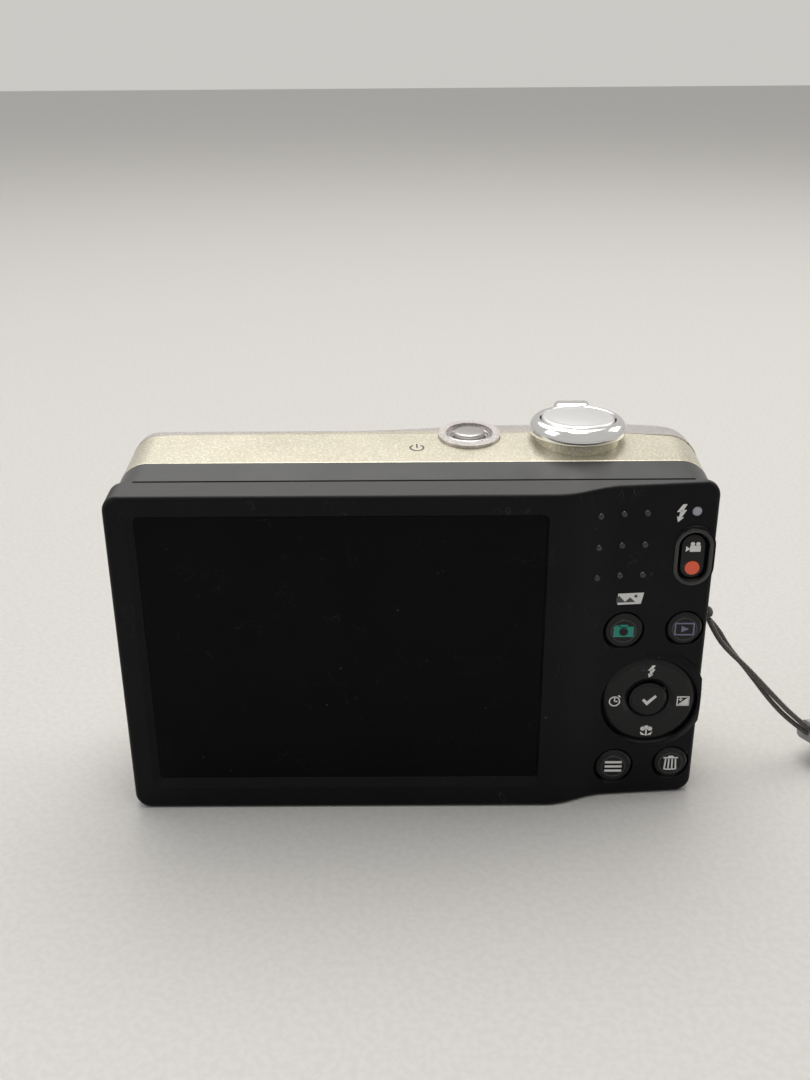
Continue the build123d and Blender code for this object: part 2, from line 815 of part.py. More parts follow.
with BuildPart() as ok_button:
    turned(
        selector_x,
        selector_z,
        ((0, selector_face + 0.05), (ok_radius - 0.5, selector_face + 0.15),
         (ok_radius, selector_face + 0.5), (ok_radius, 6.2), (stem_radius, 6.2),
         (stem_radius, stem_end), (0, stem_end)),
    )
save(ok_button, "ok_button")

with BuildPart() as flash_lamp:
    face = pad_depth(lamp_x)
    turned(
        lamp_x,
        lamp_z,
        ((0, face - 0.12), (lamp_radius, face + 0.05), (lamp_radius, rear_split), (0, rear_split)),
    )
save(flash_lamp, "flash_lamp")

# ================================================================ top controls
with BuildPart() as power_button:
    turned_up(
        power_x,
        power_depth,
        ((0, power_top), (power_radius * 0.7, power_top - 0.05), (power_radius, power_top - 0.3),
         (power_radius, power_flange_high), (power_radius + power_flange, power_flange_high),
         (power_radius + power_flange, power_flange_low), (0, power_flange_low)),
    )
save(power_button, "power_button")

with BuildPart() as shutter_collar:
    turned_up(
        zoom_x,
        zoom_depth,
        ((shutter_stem + run_gap, collar_low + seat_gap), (collar_radius, collar_low + seat_gap),
         (collar_radius, collar_high - 0.2), (collar_radius - 0.2, collar_high),
         (sleeve_radius, collar_high), (sleeve_radius, sleeve_top),
         (shutter_stem + run_gap, sleeve_top)),
    )
save(shutter_collar, "shutter_collar")

with BuildPart() as zoom_ring:
    slab(
        zoom_x - tab_width / 2,
        zoom_x + tab_width / 2,
        zoom_depth,
        overall_depth,
        zoom_low + 0.2,
        zoom_high - 0.4,
    )
    fillet(zoom_ring.faces().sort_by(Axis.Y)[-1].edges(), 0.8)
    turned_up(
        zoom_x,
        zoom_depth,
        ((0, zoom_low), (collar_radius + run_gap, zoom_low), (collar_radius + run_gap, skirt_low),
         (zoom_radius - 0.5, skirt_low), (zoom_radius, skirt_low + 0.5),
         (zoom_radius, zoom_high - 0.6), (zoom_radius - 0.6, zoom_high), (0, zoom_high)),
    )
    upright(zoom_x, zoom_depth, cap_radius + run_gap, sleeve_top + 0.1, zoom_high + 1.0,
            mode=Mode.SUBTRACT)
    upright(zoom_x, zoom_depth, sleeve_radius + run_gap, zoom_low - 1.0, zoom_high, mode=Mode.SUBTRACT)
save(zoom_ring, "zoom_ring")

with BuildPart() as shutter_button:
    turned_up(
        zoom_x,
        zoom_depth,
        ((0, cap_top), (cap_radius * 0.6, cap_top - 0.08), (cap_radius - 0.5, cap_top - 0.25),
         (cap_radius, cap_top - 0.6), (cap_radius, cap_low), (shutter_stem, cap_low),
         (shutter_stem, stem_flange_high), (shutter_stem + stem_flange, stem_flange_high),
         (shutter_stem + stem_flange, stem_flange_low), (0, stem_flange_low)),
    )
save(shutter_button, "shutter_button")

with BuildPart() as top_board:
    board_high = switch_board_low + switch_board_thickness
    slab(power_x - 6.45, power_x + 12.05, 14.0, 24.3, switch_board_low, board_high)
    for x in (power_x - 4.45, power_x + 10.05):
        upright(x, 16.0, 1.0, board_high, board_high + 1.0)
    upright(power_x, power_depth, dome_radius, board_high, board_high + dome_thickness)
    upright(zoom_x, zoom_depth, dome_radius, box_high, box_high + dome_thickness)
save(top_board, "top_board")

# ================================================================ lens
with BuildPart() as lens_housing:
    block(lens_x, lens_z, housing_plate_size, housing_plate_size, housing_back, plate_front, 2.0)
    for hand in (-1, 1):
        x = lens_x + hand * (housing_plate_size / 2 - 3.0)
        slab(x - housing_foot, x + housing_foot, housing_back, plate_front, wall + seat_gap, lens_z)
    disc(lens_x, lens_z, housing_outer, plate_front, housing_front)
    disc(lens_x, lens_z, housing_inner, plate_front, housing_front, mode=Mode.SUBTRACT)
    disc(lens_x, lens_z, rear_lens_radius + 1.0, plate_front, plate_front + 3.0)
    disc(lens_x, lens_z, rear_lens_radius + seat_gap, plate_front, housing_front, mode=Mode.SUBTRACT)
    disc(lens_x, lens_z, rear_lens_radius - 0.8, housing_back, housing_front, mode=Mode.SUBTRACT)
save(lens_housing, "lens_housing")

with BuildPart() as rear_lens:
    turned(
        lens_x,
        lens_z,
        ((0, plate_front - 0.6), (rear_lens_radius - 1.0, plate_front), (rear_lens_radius, plate_front),
         (rear_lens_radius, plate_front + 2.0), (0, plate_front + 2.8)),
    )
save(rear_lens, "rear_lens")

with BuildPart() as image_sensor:
    block(lens_x, lens_z, sensor_width, sensor_height, board_far + chip_height + 0.2, housing_back)
save(image_sensor, "image_sensor")

outer_barrel_inner = housing_inner - slide_gap - barrel_wall
with BuildPart() as outer_barrel:
    disc(lens_x, lens_z, housing_inner - slide_gap, outer_barrel_back, outer_barrel_front)
    disc(lens_x, lens_z, outer_barrel_inner, outer_barrel_back, outer_barrel_front, mode=Mode.SUBTRACT)
    fillet(outer_barrel.faces().sort_by(Axis.Y)[-1].edges(), 0.25)
save(outer_barrel, "outer_barrel")

inner_radius = outer_barrel_inner - slide_gap
with BuildPart() as inner_barrel:
    disc(lens_x, lens_z, inner_radius, inner_barrel_back, inner_barrel_front)
    fillet(inner_barrel.faces().sort_by(Axis.Y)[-1].edges(), 0.5)
    disc(lens_x, lens_z, inner_radius - barrel_wall, inner_barrel_back, blade_near - 1.0,
         mode=Mode.SUBTRACT)
    disc(lens_x, lens_z, inner_radius - barrel_wall, blade_near - 0.3, blade_far + 0.3,
         mode=Mode.SUBTRACT)
    disc(lens_x, lens_z, lens_radius + lens_cell, blade_near - 5.3, blade_near - 1.0)
    disc(lens_x, lens_z, lens_radius + seat_gap, blade_near - 5.3, blade_near - 1.0,
         mode=Mode.SUBTRACT)
    turned(
        lens_x,
        lens_z,
        ((0, blade_near - 1.5), (aperture_radius + 0.7, blade_near - 1.5),
         (aperture_radius + 0.7, blade_far + 0.3), (aperture_radius + 2.6, inner_barrel_front),
         (aperture_radius + 2.6, inner_barrel_front + 1.0), (0, inner_barrel_front + 1.0)),
        mode=Mode.SUBTRACT,
    )
    for hand in (-1, 1):
        x = lens_x + hand * blade_pivot_x
        z = lens_z - hand * blade_pivot_z
        disc(x, z, pivot_radius, blade_near - 0.3, blade_far + 0.3)
save(inner_barrel, "inner_barrel")

with BuildPart() as front_lens:
    turned(
        lens_x,
        lens_z,
        ((0, blade_near - 3.9), (lens_radius, blade_near - 3.2), (lens_radius, blade_near - 1.9),
         (lens_radius * 0.6, blade_near - 1.25), (0, blade_near - 1.05)),
    )
save(front_lens, "front_lens")

for hand, name in ((-1, "upper_blade"), (1, "lower_blade")):
    with BuildPart() as blade:
        with BuildSketch(depth_plane(blade_far)):
            with Locations((lens_x, lens_z)):
                Circle(blade_radius)
                with Locations((hand * blade_pivot_x / 2, -hand * blade_pivot_z)):
                    Rectangle(blade_pivot_x, blade_arm)
                with Locations((hand * blade_pivot_x, -hand * blade_pivot_z)):
                    Circle(blade_eye)
                    Circle(pivot_radius + slide_gap, mode=Mode.SUBTRACT)
                with Locations((0, hand * (blade_radius - seat_gap))):
                    Rectangle(4 * blade_radius, 2 * blade_radius, mode=Mode.SUBTRACT)
        extrude(amount=blade_far - blade_near)
    save(blade, name)

with BuildPart() as lens_ring:
    turned(
        lens_x,
        lens_z,
        ((housing_inner + slide_gap, housing_front + seat_gap),
         (housing_inner + 0.95, housing_front + seat_gap),
         (housing_inner + 0.95, lens_side_depth - 0.5), (trim_radius, lens_side_depth - 0.5),
         (trim_radius - 0.4, lens_side_depth + 0.6), (housing_inner + 1.0, trim_front),
         (housing_inner + slide_gap, trim_front - 0.4)),
    )
save(lens_ring, "lens_ring")

with BuildPart() as zoom_motor:
    upright(motor_x, motor_depth, motor_radius, motor_low, motor_high)
    upright(motor_x, motor_depth, 0.5, motor_high, gear_low)
    upright(motor_x, motor_depth, motor_radius - 0.3, gear_low, gear_high)
save(zoom_motor, "zoom_motor")

# ================================================================ flash, lamp and speaker
with BuildPart() as flash_window:
    block(
        flash_x,
        flash_z,
        flash_width - 2 * seat_gap,
        flash_height - 2 * seat_gap,
        flash_back,
        lens_side_depth - 0.15,
        1.0 - seat_gap,
    )
save(flash_window, "flash_window")

with BuildPart() as flash_reflector:
    block(flash_x, flash_z, flash_width - 0.6, flash_height - 0.6, flash_back - 5.0, flash_back - seat_gap)
    block(flash_x, flash_z, flash_width - 1.4, flash_height - 1.4, flash_back - 4.4, flash_back,
          mode=Mode.SUBTRACT)
    sideways(flash_back - 2.4, flash_z, 0.9, flash_x - flash_width / 2 + 0.5, flash_x + flash_width / 2 - 0.5)
save(flash_reflector, "flash_reflector")

with BuildPart() as flash_capacitor:
    upright(
        wall + run_gap + capacitor_radius - side,
        screw_depth,
        capacitor_radius,
        capacitor_low,
        capacitor_high,
    )
save(flash_capacitor, "flash_capacitor")

with BuildPart() as timer_lamp:
    turned(
        timer_x,
        timer_z,
        ((0, flash_back), (timer_radius - seat_gap, flash_back),
         (timer_radius - seat_gap, lens_side_depth - 0.25), (0, lens_side_depth - 0.05)),
    )
save(timer_lamp, "timer_lamp")

with BuildPart() as speaker:
    upright(speaker_x, speaker_depth, speaker_radius, wall + seat_gap, speaker_top)
save(speaker, "speaker")

# ================================================================ cells, card and door
cell_places = (cell_x - cell_pitch / 2, cell_x + cell_pitch / 2)
cell_high = cell_base + cell_length
with BuildPart() as battery_box:
    half_width = cell_pitch / 2 + bore_radius + box_margin
    slab(
        cell_x - half_width,
        cell_x + half_width,
        cell_depth - bore_radius - box_margin,
        cell_depth + bore_radius + box_margin,
        box_low,
        box_high,
        bore_radius - 0.5,
    )
    for x in cell_places:
        upright(x, cell_depth, bore_radius, box_low, cell_high + 0.5, mode=Mode.SUBTRACT)
save(battery_box, "battery_box")

for x, name, turned_over in ((cell_places[0], "inner_cell", False), (cell_places[1], "outer_cell", True)):
    with BuildPart() as cell:
        if turned_over:
            can_low, can_high = cell_base + cell_button, cell_high
            button_low, button_high = cell_base, can_low
        else:
            can_low, can_high = cell_base, cell_high - cell_button
            button_low, button_high = can_high, cell_high
        upright(x, cell_depth, cell_radius, can_low, can_high)
        fillet(cell.edges(), 0.6)
        upright(x, cell_depth, cell_button_radius, button_low, button_high)
    save(cell, name)

with BuildPart() as top_contacts:
    for x in cell_places:
        upright(x, cell_depth, plate_radius, cell_high + seat_gap, cell_high + seat_gap + plate_thickness)
save(top_contacts, "top_contacts")

with BuildPart() as card_slot:
    slab(
        cell_x - card_width / 2 - 0.5,
        cell_x + card_width / 2 + 0.5,
        card_near - slot_wall,
        card_near + card_thickness + slot_wall,
        box_low,
        card_base + card_height + 2.0,
    )
    slab(
        cell_x - card_width / 2 - 0.1,
        cell_x + card_width / 2 + 0.1,
        card_near - 0.05,
        card_near + card_thickness + 0.05,
        box_low - 1.0,
        card_base + card_height + 1.2,
        mode=Mode.SUBTRACT,
    )
save(card_slot, "card_slot")

with BuildPart() as memory_card:
    block(
        cell_x,
        card_base + card_height / 2,
        card_width,
        card_height,
        card_near,
        card_near + card_thickness,
    )
    chamfer(memory_card.edges().filter_by(Axis.Y).group_by(Axis.Z)[-1].sort_by(Axis.X)[-1], 3.0)
save(memory_card, "memory_card")

with BuildPart() as battery_door:
    slab(door_left, door_right, door_near, door_far, 0, door_thickness, door_corner)
    block(
        (door_right - 1.0 + hinge_x) / 2,
        (hinge_z - knuckle_radius + door_thickness) / 2,
        hinge_x - door_right + 1.0,
        door_thickness - hinge_z + knuckle_radius,
        knuckle_near,
        knuckle_far,
    )
    disc(hinge_x, hinge_z, knuckle_radius, knuckle_near, knuckle_far)
    disc(hinge_x, hinge_z, pin_radius + slide_gap, knuckle_near, knuckle_far, mode=Mode.SUBTRACT)
    slab(
        latch_x - latch_width / 2 - run_gap,
        latch_x + latch_width / 2 + latch_travel + run_gap,
        cell_depth - latch_depth / 2 - run_gap,
        cell_depth + latch_depth / 2 + run_gap,
        -1.0,
        door_thickness + 1.0,
        mode=Mode.SUBTRACT,
    )
save(battery_door, "battery_door")

with BuildPart() as door_latch:
    slab(
        latch_x - latch_width / 2,
        latch_x + latch_width / 2,
        cell_depth - latch_depth / 2,
        cell_depth + latch_depth / 2,
        0.1,
        door_thickness + run_gap,
    )
    slab(
        latch_x - latch_width / 2 - 0.6,
        latch_x + latch_width / 2 + 0.6,
        cell_depth - latch_depth / 2 - 0.8,
        cell_depth + latch_depth / 2 + 0.8,
        door_thickness + run_gap,
        door_thickness + run_gap + 0.4,
    )
    for step in (-1, 0, 1):
        slab(
            latch_x + step * 0.8 - 0.15,
            latch_x + step * 0.8 + 0.15,
            cell_depth - latch_depth / 2 - 0.1,
            cell_depth + latch_depth / 2 + 0.1,
            0.1,
            0.35,
            mode=Mode.SUBTRACT,
        )
save(door_latch, "door_latch")

with BuildPart() as door_contact:
    slab(
        contact_left,
        contact_right,
        contact_near,
        contact_far,
        door_thickness,
        door_thickness + contact_thickness,
    )
    for x in (contact_left + 3.0, cell_places[1]):
        turned_up(
            x,
            cell_depth,
            ((0, door_thickness), (spring_wide, door_thickness), (spring_narrow, cell_base - seat_gap),
             (0, cell_base - seat_gap)),
        )
save(door_contact, "door_contact")

with BuildPart() as hinge_pin:
    disc(hinge_x, hinge_z, pin_radius, lug_near, lug_far)
save(hinge_pin, "hinge_pin")

# ================================================================ sockets and fixings
with BuildPart() as tripod_socket:
    upright(socket_x, socket_depth, socket_radius, 0, socket_height)
    upright(socket_x, socket_depth, socket_radius + 1.0, wall + seat_gap, wall + 1.2)
    upright(socket_x, socket_depth, socket_bore, 0, socket_bore_depth, mode=Mode.SUBTRACT)
save(tripod_socket, "tripod_socket")

side_inner = port_cover_thickness - side
with BuildPart() as port_cover:
    slab(
        -side,
        side_inner,
        port_depth - port_cover_width / 2,
        port_depth + port_cover_width / 2,
        port_z - port_cover_height / 2,
        port_z + port_cover_height / 2,
    )
    hinge_edges = port_cover.edges().filter_by(Axis.Y).group_by(Axis.Z)[0]
    fillet(hinge_edges, port_cover_thickness / 2 - 0.02)
save(port_cover, "port_cover")

with BuildPart() as av_socket:
    slab(side_inner + seat_gap, side_inner + 5.6, port_depth - 2.8, port_depth + 2.8,
         port_z - 4.5, port_z + 4.5)
    slab(side_inner, side_inner + 4.0, port_depth - 1.7, port_depth + 1.7, port_z - 3.6, port_z + 3.6,
         mode=Mode.SUBTRACT)
save(av_socket, "av_socket")

with BuildPart() as case_screws:
    for x in base_screws:
        upright(x, screw_depth, screw_head, 0, screw_head_height)
        upright(x, screw_depth, screw_shank, screw_head_height, screw_length)
        with Locations((x, y_at(screw_depth), 0)):
            Box(slot_long, slot_narrow, screw_head_height, mode=Mode.SUBTRACT)
            Box(slot_narrow, slot_long, screw_head_height, mode=Mode.SUBTRACT)
    for hand, z in side_screws:
        outer = hand * side
        inner = outer - hand * screw_head_height
        far = outer - hand * screw_length
        sideways(screw_depth, z, screw_head, min(inner, outer), max(inner, outer))
        sideways(screw_depth, z, screw_shank, min(inner, far), max(inner, far))
        with Locations((outer, y_at(screw_depth), z)):
            Box(screw_head_height, slot_long, slot_narrow, mode=Mode.SUBTRACT)
            Box(screw_head_height, slot_narrow, slot_long, mode=Mode.SUBTRACT)
save(case_screws, "case_screws")

# ================================================================ strap
with BuildPart() as strap_eyelet:
    with BuildSketch(Plane.YZ.offset(eyelet_inner)):
        with Locations((y_at(eyelet_depth), eyelet_z)):
            RectangleRounded(eyelet_width, eyelet_height, eyelet_corner - seat_gap)
    extrude(amount=side - 0.1 - eyelet_inner)
    with BuildSketch(Plane.YZ.offset(eyelet_inner + eyelet_wall)):
        with Locations((y_at(eyelet_depth), eyelet_z)):
            RectangleRounded(eyelet_width - 2 * eyelet_wall, eyelet_height - 2 * eyelet_wall, 0.8)
    extrude(amount=through * 2, mode=Mode.SUBTRACT)
    upright(
        bar_x,
        eyelet_depth,
        bar_radius,
        eyelet_z - eyelet_height / 2 + 0.3,
        eyelet_z + eyelet_height / 2 - 0.3,
    )
save(strap_eyelet, "strap_eyelet")

with BuildPart() as strap_hitch:
    with Locations((bar_x, y_at(eyelet_depth), eyelet_z)):
        Torus(bar_radius + cord_diameter / 2 + 0.1, cord_diameter / 2)
    for x, z in knot_places:
        with Locations((x, y_at(eyelet_depth), z)):
            Sphere(knot_radius)
save(strap_hitch, "strap_hitch")


def cord_radii(route):
    """Radius of the arc at each inner point of a cord's route."""
    radii = []
    for before, here, after in zip(route, route[1:], route[2:]):
        arriving = Vector(*here) - Vector(*before)
        leaving = Vector(*after) - Vector(*here)
        shorter = min(arriving.length, leaving.length)
        turn = math.radians(arriving.get_angle(leaving))
        radii.append(0.45 * shorter / math.tan(turn / 2))
    return radii


# Each station is a distance out from the casing's side, a depth and a height.
strand_routes = {
    "rear_strand": [
        (1.9, 10.4, 30.6),
        (3.3, 10.2, 27.9),
        (5.4, 10.3, 25.0),
        (9.6, 10.9, 20.9),
        (14.9, 11.6, 15.0),
        (19.5, 12.2, 10.0),
        (22.9, 12.5, 7.2),
    ],
    "front_strand": [
        (1.9, 11.6, 30.4),
        (4.0, 11.9, 28.2),
        (6.2, 11.9, 24.4),
        (10.3, 12.0, 19.5),
        (14.9, 12.3, 13.3),
        (19.2, 12.5, 8.8),
        (22.9, 12.6, 6.0),
    ],
}
for name, stations in strand_routes.items():
    route = [(side + x, y_at(depth), z) for x, depth, z in stations]
    radii = cord_radii(route)
    with BuildPart() as strand:
        with BuildLine() as path:
            FilletPolyline(*route, radius=radii)
        with BuildSketch(Plane(origin=path.line @ 0, z_dir=path.line % 0)):
            Circle(cord_diameter / 2)
        sweep()
    save(strand, name)
    length = sum(edge.length for edge in path.edges())
    ideal = math.pi * cord_diameter**2 / 4 * length
    print(name, "length", round(length, 2), "volume share", round(strand.part.volume / ideal, 4))
    print(name, "radii", [round(radius, 1) for radius in radii])

heading = Vector(*ferrule_heading, 0)
across = Vector(-ferrule_heading[1], ferrule_heading[0], 0)
ferrule_near = Vector(ferrule_start[0], y_at(ferrule_start[1]), ferrule_start[2])
ferrule_far = ferrule_near + heading * ferrule_run
ferrule_far.Z = ferrule_height / 2 + 0.5
with BuildPart() as strap_ferrule:
    with BuildSketch(Plane(origin=ferrule_near, x_dir=across, z_dir=ferrule_far - ferrule_near)):
        RectangleRounded(ferrule_width - 2.4, ferrule_height - 0.6, 1.2)
    with BuildSketch(Plane(origin=ferrule_far, x_dir=across, z_dir=heading)):
        RectangleRounded(ferrule_width, ferrule_height, 1.2)
    loft()
save(strap_ferrule, "strap_ferrule")

hank_start = Vector(ferrule_far.X, ferrule_far.Y, hank_height / 2)
with BuildPart() as strap_webbing:
    with BuildSketch(Plane(origin=hank_start, x_dir=across, z_dir=heading)):
        RectangleRounded(hank_width, hank_height, 1.5)
    extrude(amount=hank_length)
save(strap_webbing, "strap_webbing")
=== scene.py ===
"""Looks of a compact digital camera with its wrist strap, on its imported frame, in metres."""

import logging
import math
from dataclasses import dataclass
from enum import Enum
from typing import Callable

import bmesh
import bpy
from mathutils import Matrix, Vector


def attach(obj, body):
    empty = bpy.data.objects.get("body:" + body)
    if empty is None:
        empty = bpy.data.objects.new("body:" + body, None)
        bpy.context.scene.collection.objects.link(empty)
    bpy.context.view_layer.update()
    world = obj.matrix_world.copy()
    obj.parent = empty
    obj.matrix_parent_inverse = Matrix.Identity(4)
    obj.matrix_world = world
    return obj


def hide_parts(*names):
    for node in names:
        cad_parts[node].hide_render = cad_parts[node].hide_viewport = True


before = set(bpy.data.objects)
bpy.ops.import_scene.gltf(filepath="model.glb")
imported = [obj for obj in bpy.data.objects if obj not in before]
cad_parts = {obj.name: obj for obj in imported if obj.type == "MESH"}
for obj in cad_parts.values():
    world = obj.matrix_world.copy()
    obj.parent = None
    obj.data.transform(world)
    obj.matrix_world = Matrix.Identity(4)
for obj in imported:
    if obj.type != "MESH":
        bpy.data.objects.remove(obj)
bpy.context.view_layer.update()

Place = tuple[float, float]
Station = tuple[float, float, float]
Surface = Callable[[float], float]

MM = 0.001
DEPTH_MIDDLE = 15.2  # depth of the frame's origin behind the rear face
PAD_START, PAD_END = 22.0, 33.0  # where the rear face begins and ends its step, across
PAD_STEP = 3.0
PAD_SLOPE = 0.084
ZOOM_PLACE: Place = (27.5, 20.9)  # axis of the zoom ring, across and in depth
POWER_PLACE: Place = (9.45, 22.2)  # axis of the power button, across and in depth
SELECTOR_PLACE: Place = (39.3, 18.9)
MOVIE_PLACE: Place = (44.4, 45.3)
BUTTON_PLACES: dict[str, Place] = {
    "mode": (34.1, 32.4), "playback": (44.2, 32.3), "menu": (34.1, 6.1), "delete": (44.1, 6.2),
}
STRIP = 0.45  # width of the strips of a mark that follows the pad
BUMP_COLUMNS = (29.0, 32.8, 36.5)
BUMP_ROWS = (53.0, 47.65, 42.4)
LOG = logging.getLogger("camera")


def at(x: float, depth: float, z: float) -> Vector:
    """Turn a place in millimetres, with its depth from the rear face, into the frame's metres.

    Args:
        x: Distance across, towards the grip.
        depth: Distance from the rear face.
        z: Height over the base.

    Returns:
        The point in metres.
    """
    return Vector((x, depth - DEPTH_MIDDLE, z)) * MM


def pad_depth(x: float) -> float:
    """Give the depth of the stepped rear face at x, in millimetres.

    Args:
        x: Distance across.

    Returns:
        The depth from the rear face.
    """
    if x <= PAD_START:
        return 0.0
    if x >= PAD_END:
        return PAD_STEP + PAD_SLOPE * (x - PAD_END)
    share = (x - PAD_START) / (PAD_END - PAD_START)
    return PAD_STEP * share * share * (3 - 2 * share)


def pad(lift: float) -> Surface:
    """Give the pad's surface, a distance in front of it."""
    return lambda x: pad_depth(x) - lift


def at_depth(depth: float) -> Surface:
    """Give a surface that stays at one depth."""
    return lambda _: depth


def cap(name: str, lift: float = 0.235) -> Surface:
    """Give the nearly flat face of a round button."""
    return at_depth(pad_depth(BUTTON_PLACES[name][0]) - lift)


class Kind(Enum):
    """The families of finish."""

    PLASTIC = "plastic"
    FLAKE = "flake"
    METAL = "metal"
    SPUN = "spun"
    WINDOW = "window"
    GLASS = "glass"
    WOVEN = "woven"
    PRINT = "print"


# ---------------------------------------------------------------- shader groups
class Tree:
    """A node tree with short calls to add and join nodes."""

    def __init__(self, tree: bpy.types.NodeTree) -> None:
        """Keep the tree."""
        self.tree = tree

    def add(self, kind: str, settings: dict | None = None, **inputs: object) -> bpy.types.Node:
        """Add a node.

        Args:
            kind: The node's type.
            settings: Properties of the node itself.
            inputs: Values or sockets for its inputs, spaces written as underscores.

        Returns:
            The new node.
        """
        node = self.tree.nodes.new(kind)
        for key, value in (settings or {}).items():
            setattr(node, key, value)
        for key, value in inputs.items():
            index = int(key[1:]) if key[0] == "i" and key[1:].isdigit() else key.replace("_", " ")
            if isinstance(value, bpy.types.NodeSocket):
                self.tree.links.new(value, node.inputs[index])
            else:
                node.inputs[index].default_value = value
        return node

    def math(self, operation: str, first: object, second: object = 0.0) -> bpy.types.NodeSocket:
        """Add a Math node and give its result."""
        return self.add("ShaderNodeMath", {"operation": operation}, i0=first, i1=second).outputs[0]

    def mix(self, factor: object, first: object, second: object) -> bpy.types.NodeSocket:
        """Mix two colours.

        Args:
            factor: The share of the second.
            first: Colour or socket.
            second: Colour or socket.

        Returns:
            The mixed colour's socket.
        """
        node = self.add("ShaderNodeMix", {"data_type": "RGBA"}, i0=factor, i6=first, i7=second)
        return node.outputs[2]

    def ramp(self, value: object, low: float, high: float, bottom: float, top: float) -> bpy.types.NodeSocket:
        """Map a value from one range to another, held at its ends.

        Args:
            value: The socket to map.
            low: Start of the range in.
            high: End of the range in.
            bottom: Result at the start.
            top: Result at the end.

        Returns:
            The mapped value's socket.
        """
        return self.add("ShaderNodeMapRange", None, i0=value, i1=low, i2=high, i3=bottom, i4=top).outputs[0]


def new_group(name: str, inputs: dict[str, tuple[str, float]], outputs: tuple[str, ...]) -> tuple:
    """Start a shader node group.

    Args:
        name: Name of the group.
        inputs: Socket kind and starting value by name.
        outputs: Names of its float outputs.

    Returns:
        The group, its tree helper, and its input and output nodes.
    """
    group = bpy.data.node_groups.new(name, "ShaderNodeTree")
    for label, (kind, start) in inputs.items():
        socket = group.interface.new_socket(label, in_out="INPUT", socket_type=kind)
        if kind == "NodeSocketFloat":
            socket.default_value = start
    for label in outputs:
        group.interface.new_socket(label, in_out="OUTPUT", socket_type="NodeSocketFloat")
    tree = Tree(group)
    return group, tree, tree.add("NodeGroupInput"), tree.add("NodeGroupOutput")


def make_grain() -> bpy.types.NodeTree:
    """Build the group for fine moulded or painted grain with broad uneven patches."""
    group, tree, given, result = new_group(
        "fine_grain", {"Place": ("NodeSocketVector", 0), "Scale": ("NodeSocketFloat", 4000.0)},
        ("Height", "Patch")
    )
    fine = tree.add("ShaderNodeTexNoise", None, Vector=given.outputs[0], Scale=given.outputs[1], Detail=2.0)
    broad = tree.add("ShaderNodeTexNoise", None, Vector=given.outputs[0], Scale=90.0, Detail=4.0)
    tree.tree.links.new(fine.outputs[0], result.inputs[0])
    tree.tree.links.new(tree.ramp(broad.outputs[0], 0.35, 0.65, 0.0, 1.0), result.inputs[1])
    return group


def make_wear() -> bpy.types.NodeTree:
    """Build the group for hairline scratches and finger smudges."""
    group, tree, given, result = new_group(
        "handling_wear", {"Place": ("NodeSocketVector", 0), "Scale": ("NodeSocketFloat", 300.0)},
        ("Scratch", "Smudge")
    )
    lines = []
    for turn, stretch in ((0.5, 16.0), (2.2, 22.0)):
        drawn = tree.add("ShaderNodeMapping", None, Vector=given.outputs[0], Rotation=(turn, turn, turn),
                         Scale=(1.0, stretch, 1.0))
        noise = tree.add("ShaderNodeTexNoise", None, Vector=drawn.outputs[0], Scale=given.outputs[1],
                         Detail=1.0)
        line = tree.math("ABSOLUTE", tree.math("SUBTRACT", noise.outputs[0], 0.62))
        lines.append(tree.ramp(line, 0.0, 0.006, 1.0, 0.0))
    patchy = tree.add("ShaderNodeTexNoise", None, Vector=given.outputs[0], Scale=150.0, Detail=3.0)
    where = tree.ramp(patchy.outputs[0], 0.52, 0.66, 0.0, 1.0)
    tree.tree.links.new(tree.math("MULTIPLY", tree.math("MAXIMUM", *lines), where), result.inputs[0])
    smear = tree.add("ShaderNodeTexNoise", None, Vector=given.outputs[0], Scale=60.0, Detail=5.0,
                     Distortion=1.2)
    tree.tree.links.new(tree.ramp(smear.outputs[0], 0.5, 0.7, 0.0, 1.0), result.inputs[1])
    return group


def make_dust() -> bpy.types.NodeTree:
    """Build the group for specks of dust, thicker on faces that look up."""
    group, tree, given, result = new_group(
        "dust", {"Place": ("NodeSocketVector", 0), "Amount": ("NodeSocketFloat", 0.3)}, ("Mask",)
    )
    specks = tree.add("ShaderNodeTexVoronoi", None, Vector=given.outputs[0], Scale=420.0)
    speck = tree.ramp(specks.outputs["Distance"], 0.03, 0.07, 1.0, 0.0)
    chance = tree.add("ShaderNodeSeparateColor", None, i0=specks.outputs["Color"])
    kept = tree.math("GREATER_THAN", chance.outputs[0], 0.82)
    facing = tree.add("ShaderNodeSeparateXYZ", None, i0=tree.add("ShaderNodeNewGeometry").outputs["Normal"])
    upward = tree.ramp(facing.outputs[2], 0.2, 1.0, 0.35, 1.0)
    mask = tree.math("MULTIPLY", tree.math("MULTIPLY", speck, kept),
                     tree.math("MULTIPLY", upward, given.outputs[1]))
    tree.tree.links.new(mask, result.inputs[0])
    return group


def make_flake() -> bpy.types.NodeTree:
    """Build the group for metallic flakes in paint."""
    group, tree, given, result = new_group(
        "flake", {"Place": ("NodeSocketVector", 0), "Scale": ("NodeSocketFloat", 5200.0)}, ("Shade", "Height")
    )
    cells = tree.add("ShaderNodeTexVoronoi", None, Vector=given.outputs[0], Scale=given.outputs[1])
    parts = tree.add("ShaderNodeSeparateColor", None, i0=cells.outputs["Color"])
    tree.tree.links.new(parts.outputs[0], result.inputs[0])
    tree.tree.links.new(parts.outputs[1], result.inputs[1])
    return group


